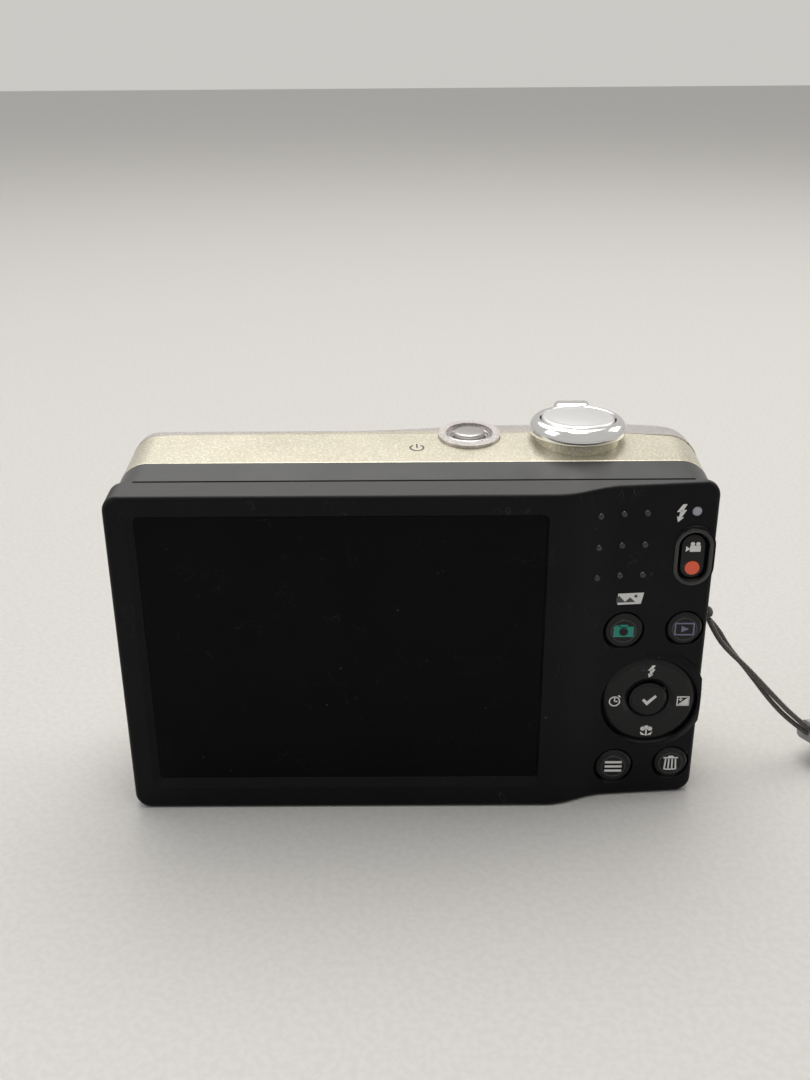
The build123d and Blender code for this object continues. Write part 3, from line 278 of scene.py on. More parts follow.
def make_braid() -> bpy.types.NodeTree:
    """Build the group for yarns that cross each other, on a surface's own coordinates."""
    group, tree, given, result = new_group(
        "braid",
        {"Place": ("NodeSocketVector", 0), "Along": ("NodeSocketFloat", 40.0),
         "Around": ("NodeSocketFloat", 4.0)},
        ("Height", "Shade"),
    )
    split = tree.add("ShaderNodeSeparateXYZ", None, i0=given.outputs[0])
    along = tree.math("MULTIPLY", tree.math("MULTIPLY", split.outputs[0], given.outputs[1]), math.tau)
    around = tree.math("MULTIPLY", tree.math("MULTIPLY", split.outputs[1], given.outputs[2]), math.tau)
    right = tree.math("SINE", tree.math("ADD", along, around))
    left = tree.math("SINE", tree.math("SUBTRACT", along, around))
    height = tree.math("MAXIMUM", right, left)
    tree.tree.links.new(tree.ramp(height, -1.0, 1.0, 0.0, 1.0), result.inputs[0])
    # Fibre tone, scaled down where the weave is low: random fibre tone plus painted shade in the valleys
    # between yarns.
    fibre = tree.add("ShaderNodeTexNoise", None, Vector=given.outputs[0], Scale=260.0, Detail=3.0)
    tree.tree.links.new(tree.math("MULTIPLY", fibre.outputs[0], tree.ramp(height, -0.6, 1.0, 0.3, 1.0)),
                        result.inputs[1])
    return group


GROUPS: dict[str, bpy.types.NodeTree] = {}


# ---------------------------------------------------------------- finishes
@dataclass(frozen=True)
class Finish:
    """One finish, from which a material is made."""

    name: str
    kind: Kind
    colour: tuple[float, float, float]
    second: tuple[float, float, float]
    rough: tuple[float, float] = (0.35, 0.5)
    metallic: float = 0.0
    grain: float = 4200.0
    relief: float = 0.000004
    wear: float = 0.25
    dust: float = 0.2
    coat: float = 0.0
    specular: float = 0.5
    pattern: tuple[float, float] = (40.0, 4.0)
    # Lightness painted on faces that look up: a painted sheen.
    top: float = 0.0

    def material(self) -> bpy.types.Material:
        """Give the finish's material, made on its first use."""
        found = bpy.data.materials.get(self.name)
        if found:
            return found
        made = bpy.data.materials.new(self.name)
        made.use_nodes = True
        made.node_tree.nodes.clear()
        tree = Tree(made.node_tree)
        output = tree.add("ShaderNodeOutputMaterial")
        shader = tree.add("ShaderNodeBsdfPrincipled")
        made.node_tree.links.new(shader.outputs[0], output.inputs[0])
        self.dress(tree, shader)
        return made

    def group(self, tree: Tree, name: str, **inputs: object) -> bpy.types.Node:
        """Place one of the shared groups.

        Args:
            tree: The material's tree.
            name: Name of the group.
            inputs: Its inputs.

        Returns:
            The group's node.
        """
        return tree.add("ShaderNodeGroup", {"node_tree": GROUPS[name]}, **inputs)

    def dress(self, tree: Tree, shader: bpy.types.Node) -> None:
        """Join the finish's nodes to its shader.

        Args:
            tree: The material's tree.
            shader: Its Principled BSDF.
        """
        links = tree.tree.links
        coordinates = tree.add("ShaderNodeTexCoord")
        place = coordinates.outputs["Object"]
        grain = self.group(tree, "fine_grain", Place=place, Scale=self.grain)
        wear = self.group(tree, "handling_wear", Place=place)
        dust = self.group(tree, "dust", Place=place, Amount=self.dust)
        colour = tree.mix(grain.outputs["Patch"], (*self.colour, 1.0), (*self.second, 1.0))
        height = grain.outputs["Height"]
        if self.kind is Kind.FLAKE:
            flake = self.group(tree, "flake", Place=place)
            bright = tuple(min(1.0, part * 1.5 + 0.06) for part in self.colour)
            colour = tree.mix(tree.ramp(flake.outputs["Shade"], 0.55, 1.0, 0.0, 0.75), colour, (*bright, 1.0))
            height = tree.math("ADD", height, flake.outputs["Height"])
        if self.kind is Kind.WOVEN:
            along, around = self.pattern
            braid = self.group(tree, "braid", Place=coordinates.outputs["UV"], Along=along, Around=around)
            colour = tree.mix(braid.outputs["Shade"], (*self.colour, 1.0), (*self.second, 1.0))
            height = braid.outputs["Height"]
        if self.kind is Kind.SPUN:
            rings = tree.add("ShaderNodeVectorMath", {"operation": "SUBTRACT"}, i0=place,
                             i1=at(*ZOOM_PLACE, 0))
            flat = tree.add("ShaderNodeVectorMath", {"operation": "MULTIPLY"}, i0=rings.outputs[0],
                            i1=(1, 1, 0))
            reach = tree.add("ShaderNodeVectorMath", {"operation": "LENGTH"}, i0=flat.outputs[0])
            groove = tree.add("ShaderNodeTexNoise", {"noise_dimensions": "1D"}, W=reach.outputs["Value"],
                              Scale=9000.0, Detail=2.0)
            height = groove.outputs[0]
            colour = tree.mix(tree.ramp(groove.outputs[0], 0.35, 0.65, 0.0, 1.0), (*self.colour, 1.0),
                              (*self.second, 1.0))
            # Front and back of the disc, along y, are mixed towards near white: a painted hourglass
            # highlight.
            heading = tree.add("ShaderNodeVectorMath", {"operation": "NORMALIZE"}, i0=flat.outputs[0])
            aim = tree.add("ShaderNodeSeparateXYZ", None, Vector=heading.outputs[0])
            painted_highlight_wedge = tree.ramp(tree.math("ABSOLUTE", aim.outputs[1], 0.0), 0.62, 1.0, 0.0, 1.0)
            colour = tree.mix(painted_highlight_wedge, colour, (0.97, 0.97, 0.96, 1.0))
            links.new(flat.outputs[0], shader.inputs["Tangent"])
            shader.inputs["Anisotropic"].default_value = 0.92
        # Faces that look up are mixed towards a light grey: a painted sheen.
        if self.top:
            facing = tree.add("ShaderNodeSeparateXYZ", None, Vector=coordinates.outputs["Normal"])
            colour = tree.mix(tree.ramp(facing.outputs[2], 0.8, 0.99, 0.0, 1.0), colour,
                              (self.top, self.top, self.top * 1.02, 1.0))
        soft = tree.math("MULTIPLY", wear.outputs["Scratch"], self.wear)
        lighter = tuple(min(1.0, part + 0.16) for part in self.second)
        colour = tree.mix(soft, colour, (*lighter, 1.0))
        colour = tree.mix(dust.outputs[0], colour, (0.55, 0.54, 0.5, 1.0))
        links.new(colour, shader.inputs["Base Color"])
        uneven = tree.math("ADD", tree.math("MULTIPLY", grain.outputs["Patch"], 0.55),
                           tree.math("MULTIPLY", wear.outputs["Smudge"], 0.45))
        rough = tree.ramp(uneven, 0.0, 1.0, *self.rough)
        links.new(tree.math("ADD", rough, tree.math("MULTIPLY", dust.outputs[0], 0.3)),
                  shader.inputs["Roughness"])
        bump = tree.add("ShaderNodeBump", None, Strength=1.0, Distance=self.relief, Height=height)
        links.new(bump.outputs[0], shader.inputs["Normal"])
        shader.inputs["Metallic"].default_value = self.metallic
        shader.inputs["Specular IOR Level"].default_value = self.specular
        if self.coat:
            shader.inputs["Coat Weight"].default_value = self.coat
            shader.inputs["Coat Roughness"].default_value = 0.08
        if self.kind is Kind.GLASS:
            shader.inputs["Transmission Weight"].default_value = 1.0
            shader.inputs["IOR"].default_value = 1.5
        if self.kind is Kind.WOVEN:
            shader.inputs["Sheen Weight"].default_value = 0.35
            shader.inputs["Sheen Roughness"].default_value = 0.4


# The rear cover's upward faces get a lighter grey from top: a painted sheen.
REAR_BLACK = Finish("rear_black_satin", Kind.PLASTIC, (0.0034, 0.0036, 0.0044), (0.0048, 0.005, 0.006),
                    (0.34, 0.46), relief=0.000005, dust=0.2, specular=0.12, top=0.075)
FRAME_BLACK = Finish("frame_grey_satin", Kind.PLASTIC, (0.045, 0.046, 0.049), (0.056, 0.057, 0.06),
                     (0.33, 0.44), metallic=0.3)
CHAMPAGNE = Finish("champagne_flake", Kind.FLAKE, (0.50, 0.468, 0.375), (0.54, 0.508, 0.415), (0.34, 0.44),
                   metallic=0.75, relief=0.000006, coat=0.25)
SILVER = Finish("warm_silver", Kind.FLAKE, (0.50, 0.47, 0.455), (0.53, 0.50, 0.485), (0.3, 0.38),
                metallic=0.8, relief=0.000002, coat=0.3)
WINDOW = Finish("monitor_gloss", Kind.WINDOW, (0.0022, 0.0022, 0.0026), (0.003, 0.003, 0.0036), (0.05, 0.12),
                grain=900.0, relief=0.0000006, wear=0.12, dust=0.35, specular=0.06)
BUTTON = Finish("button_gloss", Kind.PLASTIC, (0.0055, 0.0055, 0.006), (0.008, 0.008, 0.009), (0.16, 0.28),
                relief=0.000002, dust=0.12, specular=0.25)
CHROME = Finish("chrome", Kind.METAL, (0.86, 0.85, 0.84), (0.82, 0.81, 0.80), (0.05, 0.13), metallic=1.0,
                relief=0.0000004, wear=0.15)
# Spun metal with fine rings and a painted hourglass highlight on its front and back.
SPUN = Finish("spun_metal", Kind.SPUN, (0.44, 0.44, 0.44), (0.36, 0.36, 0.365), (0.4, 0.48), metallic=1.0,
              relief=0.000002)
POWER = Finish("plated_button", Kind.METAL, (0.44, 0.43, 0.42), (0.40, 0.39, 0.38), (0.34, 0.46),
               metallic=1.0, relief=0.000001)
BARREL = Finish("barrel_grey", Kind.METAL, (0.10, 0.10, 0.105), (0.13, 0.13, 0.135), (0.35, 0.46),
                metallic=0.7)
RING = Finish("turned_ring", Kind.METAL, (0.58, 0.57, 0.56), (0.52, 0.51, 0.5), (0.22, 0.32), metallic=1.0)
LENS = Finish("lens_glass", Kind.GLASS, (0.9, 0.93, 1.0), (0.86, 0.9, 1.0), (0.01, 0.03), relief=0.0000002,
              wear=0.0, dust=0.02)
CLEAR = Finish("flash_glass", Kind.GLASS, (0.95, 0.95, 0.95), (0.92, 0.92, 0.92), (0.06, 0.12), grain=1500.0,
               relief=0.00001, wear=0.0, dust=0.03)
BLADE = Finish("blade_black", Kind.METAL, (0.012, 0.012, 0.012), (0.018, 0.018, 0.018), (0.45, 0.6),
               metallic=0.4)
LAMP = Finish("frosted_lamp", Kind.PLASTIC, (0.36, 0.35, 0.42), (0.42, 0.41, 0.48), (0.25, 0.35), wear=0.0)
AMBER = Finish("amber_lamp", Kind.PLASTIC, (0.42, 0.12, 0.02), (0.5, 0.16, 0.03), (0.1, 0.2), coat=0.6,
               wear=0.0)
BOARD = Finish("solder_mask", Kind.PLASTIC, (0.01, 0.09, 0.035), (0.015, 0.12, 0.05), (0.3, 0.45),
               grain=1200.0)
STEEL = Finish("sheet_steel", Kind.METAL, (0.52, 0.52, 0.52), (0.44, 0.44, 0.44), (0.28, 0.42), metallic=1.0)
DARK_STEEL = Finish("blackened_steel", Kind.METAL, (0.09, 0.09, 0.09), (0.14, 0.14, 0.14), (0.3, 0.45),
                    metallic=1.0)
INNER = Finish("moulded_black", Kind.PLASTIC, (0.02, 0.02, 0.02), (0.03, 0.03, 0.03), (0.5, 0.65),
               relief=0.00001)
WHITE = Finish("reflector_white", Kind.METAL, (0.8, 0.8, 0.8), (0.75, 0.75, 0.75), (0.15, 0.3), metallic=0.6)
SLEEVE = Finish("can_sleeve", Kind.PLASTIC, (0.01, 0.015, 0.035), (0.014, 0.02, 0.045), (0.2, 0.3))
CELL = Finish("cell_jacket", Kind.METAL, (0.28, 0.28, 0.29), (0.24, 0.24, 0.25), (0.3, 0.4), metallic=0.6)
CARD = Finish("card_shell", Kind.PLASTIC, (0.012, 0.02, 0.06), (0.016, 0.026, 0.07), (0.45, 0.6),
              relief=0.00001)
BRASS = Finish("turned_brass", Kind.METAL, (0.62, 0.46, 0.2), (0.5, 0.36, 0.15), (0.25, 0.4), metallic=1.0)
RUBBER = Finish("soft_rubber", Kind.PLASTIC, (0.30, 0.28, 0.225), (0.33, 0.31, 0.25), (0.55, 0.7),
                relief=0.00001, specular=0.3)
CORD = Finish("braided_cord", Kind.WOVEN, (0.03, 0.027, 0.024), (0.12, 0.108, 0.096), (0.6, 0.75),
              relief=0.00008, dust=0.1, pattern=(30.0, 3.0))
WEBBING = Finish("woven_webbing", Kind.WOVEN, (0.008, 0.008, 0.009), (0.045, 0.044, 0.046), (0.65, 0.8),
                 relief=0.00012, dust=0.15, pattern=(260.0, 9.0))
FERRULE = Finish("ferrule_grey", Kind.PLASTIC, (0.06, 0.06, 0.062), (0.075, 0.075, 0.078), (0.4, 0.52))
PRINT_WHITE = Finish("print_white", Kind.PRINT, (0.80, 0.80, 0.79), (0.74, 0.74, 0.73), (0.4, 0.5), dust=0.05)
PRINT_TEAL = Finish("print_teal", Kind.PRINT, (0.0, 0.26, 0.19), (0.0, 0.23, 0.165), (0.35, 0.45), dust=0.05)
PRINT_LILAC = Finish("print_lilac", Kind.PRINT, (0.17, 0.17, 0.27), (0.14, 0.14, 0.23), (0.35, 0.45),
                     dust=0.05)
PRINT_RED = Finish("print_red", Kind.PRINT, (0.90, 0.10, 0.02), (0.84, 0.085, 0.016), (0.2, 0.3), coat=0.5,
                   dust=0.05)
# A flat black strip that stands for the shadow in the groove of the rear seam: painted shadow.
SEAM_SHADOW = Finish("seam_shadow_black", Kind.PLASTIC, (0.002, 0.002, 0.002), (0.003, 0.003, 0.003), (0.7, 0.8), dust=0.0,
              wear=0.0, specular=0.05)
PRINT_DARK = Finish("print_dark", Kind.PRINT, (0.05, 0.05, 0.055), (0.06, 0.06, 0.065), (0.4, 0.5), dust=0.05)
RIM_BLACK = Finish("rim_gloss", Kind.PLASTIC, (0.008, 0.008, 0.009), (0.012, 0.012, 0.013), (0.2, 0.3),
                   dust=0.1, specular=0.6)

NODE_FINISHES: dict[str, Finish] = {
    "rear_cover": REAR_BLACK, "mid_frame": FRAME_BLACK, "middle_band": CHAMPAGNE, "front_cover": SILVER,
    "monitor_window": WINDOW, "lcd_module": INNER, "lcd_bracket": STEEL, "main_board": BOARD,
    "key_board": BOARD, "key_domes": STEEL, "mode_button": BUTTON, "playback_button": BUTTON,
    "menu_button": BUTTON, "delete_button": BUTTON, "movie_button": BUTTON, "multi_selector": BUTTON,
    "selector_hub": INNER, "ok_button": BUTTON, "flash_lamp": LAMP, "power_button": POWER,
    "shutter_collar": CHAMPAGNE, "zoom_ring": CHROME, "shutter_button": SPUN, "top_board": BOARD,
    "lens_housing": INNER, "rear_lens": LENS, "image_sensor": INNER, "outer_barrel": BARREL,
    "inner_barrel": BARREL, "front_lens": LENS, "upper_blade": BLADE, "lower_blade": BLADE,
    "lens_ring": RING, "zoom_motor": STEEL, "flash_window": CLEAR, "flash_reflector": WHITE,
    "flash_capacitor": SLEEVE, "timer_lamp": AMBER, "speaker": STEEL, "battery_box": INNER,
    "inner_cell": CELL, "outer_cell": CELL, "top_contacts": STEEL, "card_slot": STEEL, "memory_card": CARD,
    "battery_door": CHAMPAGNE, "door_latch": INNER, "door_contact": STEEL, "hinge_pin": STEEL,
    "tripod_socket": BRASS, "port_cover": RUBBER, "av_socket": STEEL, "case_screws": DARK_STEEL,
    "strap_eyelet": DARK_STEEL, "strap_hitch": CORD, "rear_strand": CORD, "front_strand": CORD,
    "strap_ferrule": FERRULE, "strap_webbing": WEBBING,
}


# ---------------------------------------------------------------- mesh helpers
def linked(name: str, data: bpy.types.ID) -> bpy.types.Object:
    """Put an object with its data into the scene."""
    made = bpy.data.objects.new(name, data)
    bpy.context.scene.collection.objects.link(made)
    return made


def box(middle: Vector, size: Station, turn: Matrix = Matrix.Identity(4)) -> bmesh.types.BMesh:
    """Make a block round a point, with its sides in millimetres."""
    mesh = bmesh.new()
    made = bmesh.ops.create_cube(mesh, size=1.0)
    scale = Matrix.Diagonal((*(side * MM for side in size), 1))
    bmesh.ops.transform(mesh, matrix=Matrix.Translation(middle) @ turn @ scale, verts=made["verts"])
    return mesh


def rod(place: Matrix, radius: float, length: float, segments: int) -> bmesh.types.BMesh:
    """Make a cylinder at a placing, with its sizes in millimetres."""
    mesh = bmesh.new()
    bmesh.ops.create_cone(mesh, cap_ends=True, segments=segments, radius1=radius * MM, radius2=radius * MM,
                          depth=length * MM, matrix=place)
    return mesh


def round_edges(mesh: bmesh.types.BMesh, edges: list, offset: float, segments: int) -> None:
    """Round edges of a shape, by an offset in millimetres."""
    bmesh.ops.bevel(mesh, geom=edges, offset=offset * MM, offset_type="OFFSET", affect="EDGES",
                    segments=segments, profile=0.5, material=-1)


def to_object(mesh: bmesh.types.BMesh, name: str, finish: Finish, body: str) -> bpy.types.Object:
    """Turn a finished bmesh into a piece that rides on a body.

    Args:
        mesh: The shape, in metres.
        name: Name of the piece.
        finish: Its finish.
        body: Body that it rides on.

    Returns:
        The new object.
    """
    bmesh.ops.remove_doubles(mesh, verts=mesh.verts, dist=1e-7)
    bmesh.ops.recalc_face_normals(mesh, faces=mesh.faces)
    data = bpy.data.meshes.new(name)
    mesh.to_mesh(data)
    mesh.free()
    data.shade_smooth()
    data.set_sharp_from_angle(angle=math.radians(35))
    data.materials.append(finish.material())
    made = linked(name, data)
    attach(made, body)
    LOG.info("piece %s on %s, %d faces", name, body, len(data.polygons))
    return made


def turned(profile: tuple[tuple[float, float], ...], x: float, depth: float,
           steps: int = 128) -> bmesh.types.BMesh:
    """Spin a closed outline about an upright axis.

    Args:
        profile: Radius and height of each corner, in millimetres.
        x: Where the axis is, across.
        depth: Where the axis is, from the rear face.
        steps: Number of steps round.

    Returns:
        The spun shape.
    """
    mesh = bmesh.new()
    corners = [mesh.verts.new(at(x + radius, depth, height)) for radius, height in profile]
    edges = [mesh.edges.new(pair) for pair in zip(corners, corners[1:] + corners[:1])]
    bmesh.ops.spin(mesh, geom=corners + edges, cent=at(x, depth, 0), axis=(0, 0, 1), angle=math.tau,
                   steps=steps, use_merge=True, use_duplicate=False)
    return mesh


class Mark:
    """A printed mark of flat shapes, in millimetres round its middle."""

    def __init__(self) -> None:
        """Start with nothing."""
        self.mesh = bmesh.new()

    def outline(self, *points: tuple[float, float]) -> "Mark":
        """Add a shape with the given corners."""
        self.mesh.faces.new([self.mesh.verts.new((u, v, 0.0)) for u, v in points])
        return self

    def bar(self, u: float, v: float, width: float, height: float, turn: float = 0.0) -> "Mark":
        """Add a rectangle.

        Args:
            u: Middle, across.
            v: Middle, upwards.
            width: Its width.
            height: Its height.
            turn: How far it is turned, in degrees.

        Returns:
            The mark.
        """
        spot = Matrix.Translation((u, v, 0)) @ Matrix.Rotation(math.radians(turn), 4, "Z")
        made = bmesh.ops.create_grid(self.mesh, x_segments=1, y_segments=1, size=0.5)
        bmesh.ops.transform(self.mesh, matrix=spot @ Matrix.Diagonal((width, height, 1, 1)),
                            verts=made["verts"])
        return self

    def dot(self, u: float, v: float, radius: float) -> "Mark":
        """Add a round dot."""
        bmesh.ops.create_circle(self.mesh, cap_ends=True, segments=32, radius=radius,
                                matrix=Matrix.Translation((u, v, 0)))
        return self

    def ring(self, u: float, v: float, radius: float, line: float) -> "Mark":
        """Add a ring of a line's width inside a radius."""
        made = bmesh.ops.create_circle(self.mesh, cap_ends=True, segments=48, radius=radius,
                                       matrix=Matrix.Translation((u, v, 0)))
        self.hollow(made["verts"][0].link_faces[0], line)
        return self

    def hollow(self, face: bmesh.types.BMFace, line: float) -> None:
        """Keep only a line along a face's edge."""
        bmesh.ops.inset_individual(self.mesh, faces=[face], thickness=line, use_even_offset=True)
        bmesh.ops.delete(self.mesh, geom=[face], context="FACES")

    def frame(self, u: float, v: float, width: float, height: float, line: float) -> "Mark":
        """Add a rectangular line round an area."""
        self.bar(u, v, width, height)
        self.mesh.faces.ensure_lookup_table()
        self.hollow(self.mesh.faces[-1], line)
        return self

    def follow(self) -> "Mark":
        """Cut the shapes into narrow strips, so that they follow a curved surface."""
        for step in range(-8, 9):
            across = step * STRIP + 0.01
            parts = [*self.mesh.verts, *self.mesh.edges, *self.mesh.faces]
            bmesh.ops.bisect_plane(self.mesh, geom=parts, plane_co=(across, 0, 0), plane_no=(1, 0, 0))
        return self

    def put(self, name: str, place: Callable[[float, float, float], Vector], finish: Finish, body: str,
            slot: str = "button_black", thickness: float = 0.09) -> bpy.types.Object:
        """Give the mark its thickness and lay it on its piece.

        Args:
            name: Name of the piece.
            place: Turns the mark's own millimetres into the frame's metres.
            finish: Its finish.
            body: Body that it rides on.
            slot: Material slot of the record; not used.
            thickness: How far it reaches into the piece below, in millimetres.

        Returns:
            The new object.
        """
        made = bmesh.ops.extrude_face_region(self.mesh, geom=self.mesh.faces[:], use_keep_orig=True)
        lower = [item for item in made["geom"] if isinstance(item, bmesh.types.BMVert)]
        bmesh.ops.translate(self.mesh, verts=lower, vec=(0, 0, -thickness))
        for vert in self.mesh.verts:
            vert.co = place(*vert.co)
        return to_object(self.mesh, name, finish, body)


def rear_place(x: float, z: float, surface: Surface) -> Callable[[float, float, float], Vector]:
    """Give the placing of a mark on the rear side.

    Args:
        x: Where its middle goes, across.
        z: Where its middle goes, upwards.
        surface: Depth of the surface at each x.

    Returns:
        The function that places a point of the mark.
    """
    return lambda u, v, w: at(x + u, surface(x + u) - w, z + v)


# ---------------------------------------------------------------- camera, light and floor
@dataclass
class Studio:
    """The viewpoint, soft lamps and pale floor."""

    place: tuple[float, float, float] = (-0.00062, -0.17804, 0.12140)
    pitch: float = 0.41257
    yaw: float = -0.00482
    roll: float = -0.00755
    focal: float = 38.32

    def camera(self) -> None:
        """Make the camera."""
        ahead = Vector((math.sin(self.yaw) * math.cos(self.pitch), math.cos(self.yaw) * math.cos(self.pitch),
                        -math.sin(self.pitch)))
        level = Vector((math.cos(self.yaw), -math.sin(self.yaw), 0))
        upward = level.cross(ahead)
        right = math.cos(self.roll) * level + math.sin(self.roll) * upward
        top = math.cos(self.roll) * upward - math.sin(self.roll) * level
        made = linked("view", bpy.data.cameras.new("view"))
        made.data.lens = self.focal
        made.data.sensor_width = 36.0
        made.data.clip_start = 0.01
        turn = Matrix((right, top, -ahead)).transposed().to_4x4()
        made.matrix_world = Matrix.Translation(self.place) @ turn
        bpy.context.scene.camera = made

    def lamp(self, name: str, place: tuple[float, float, float], size: float, power: float,
             colour: tuple[float, float, float]) -> None:
        """Add one soft square lamp that looks at the camera body.

        Args:
            name: Name of the lamp.
            place: Where it is.
            size: Side of its square.
            power: Its power in watts.
            colour: Its colour.
        """
        light = bpy.data.lights.new(name, "AREA")
        light.size = size
        light.energy = power
        light.color = colour
        toward = Vector((0.0, 0.0, 0.03)) - Vector(place)
        aim = toward.to_track_quat("-Z", "Y").to_matrix().to_4x4()
        linked(name, light).matrix_world = Matrix.Translation(place) @ aim

    def lamps(self) -> None:
        """Add the lamps."""
        self.lamp("ceiling", (0.05, 0.35, 0.95), 0.7, 4.0, (1.0, 0.97, 0.92))
        self.lamp("overhead", (0.02, -0.12, 0.9), 0.34, 2.0, (1.0, 0.98, 0.95))
        self.lamp("window_side", (-0.8, -0.15, 0.6), 0.5, 1.6, (0.95, 0.97, 1.0))
        self.lamp("far_side", (0.7, 0.3, 0.5), 0.4, 1.2, (1.0, 0.97, 0.94))
        light = bpy.data.lights.new("soft_sky", "SUN")
        light.energy = 1.0
        light.angle = math.radians(60)
        light.color = (1.0, 0.985, 0.96)
        backward = Matrix.Rotation(math.radians(-28), 4, "X")
        linked("soft_sky", light).matrix_world = backward @ Matrix.Rotation(math.radians(-14), 4, "Y")

    def world(self) -> None:
        """Make the pale surroundings, brighter to the eye than to the object."""
        made = bpy.data.worlds.new("surroundings")
        made.use_nodes = True
        made.node_tree.nodes.clear()
        tree = Tree(made.node_tree)
        path = tree.add("ShaderNodeLightPath")
        clear = tree.math("MAXIMUM", path.outputs["Is Camera Ray"], path.outputs["Is Transmission Ray"])
        seen = tree.math("MAXIMUM", clear, path.outputs["Is Glossy Ray"])
        dim = tree.add("ShaderNodeBackground", None, Color=(0.93, 0.92, 0.9, 1), Strength=0.32)
        shown = tree.add("ShaderNodeBackground", None, Color=(0.60, 0.585, 0.56, 1), Strength=1.0)
        mixed = tree.add("ShaderNodeMixShader", None, i0=seen, i1=dim.outputs[0], i2=shown.outputs[0])
        tree.add("ShaderNodeOutputWorld", None, Surface=mixed.outputs[0])
        bpy.context.scene.world = made

    def floor(self) -> None:
        """Lay the pale floor."""
        mesh = bmesh.new()
        bmesh.ops.create_grid(mesh, x_segments=1, y_segments=1, size=3.0)
        data = bpy.data.meshes.new("floor")
        mesh.to_mesh(data)
        mesh.free()
        material = bpy.data.materials.new("floor_paint")
        material.use_nodes = True
        tree = Tree(material.node_tree)
        shader = material.node_tree.nodes["Principled BSDF"]
        noise = tree.add("ShaderNodeTexNoise", None, Scale=900.0, Detail=3.0,
                         Vector=tree.add("ShaderNodeTexCoord").outputs["Object"])
        colour = tree.mix(tree.ramp(noise.outputs[0], 0.4, 0.6, 0.0, 1.0), (0.56, 0.55, 0.535, 1),
                          (0.59, 0.58, 0.565, 1))
        material.node_tree.links.new(colour, shader.inputs["Base Color"])
        shader.inputs["Roughness"].default_value = 0.7
        shader.inputs["Specular IOR Level"].default_value = 0.2
        data.materials.append(material)
        made = linked("floor", data)

    def build(self) -> None:
        """Make the whole studio."""
        bpy.context.scene.view_settings.view_transform = "Standard"
        self.camera()
        self.lamps()
        self.world()
        self.floor()


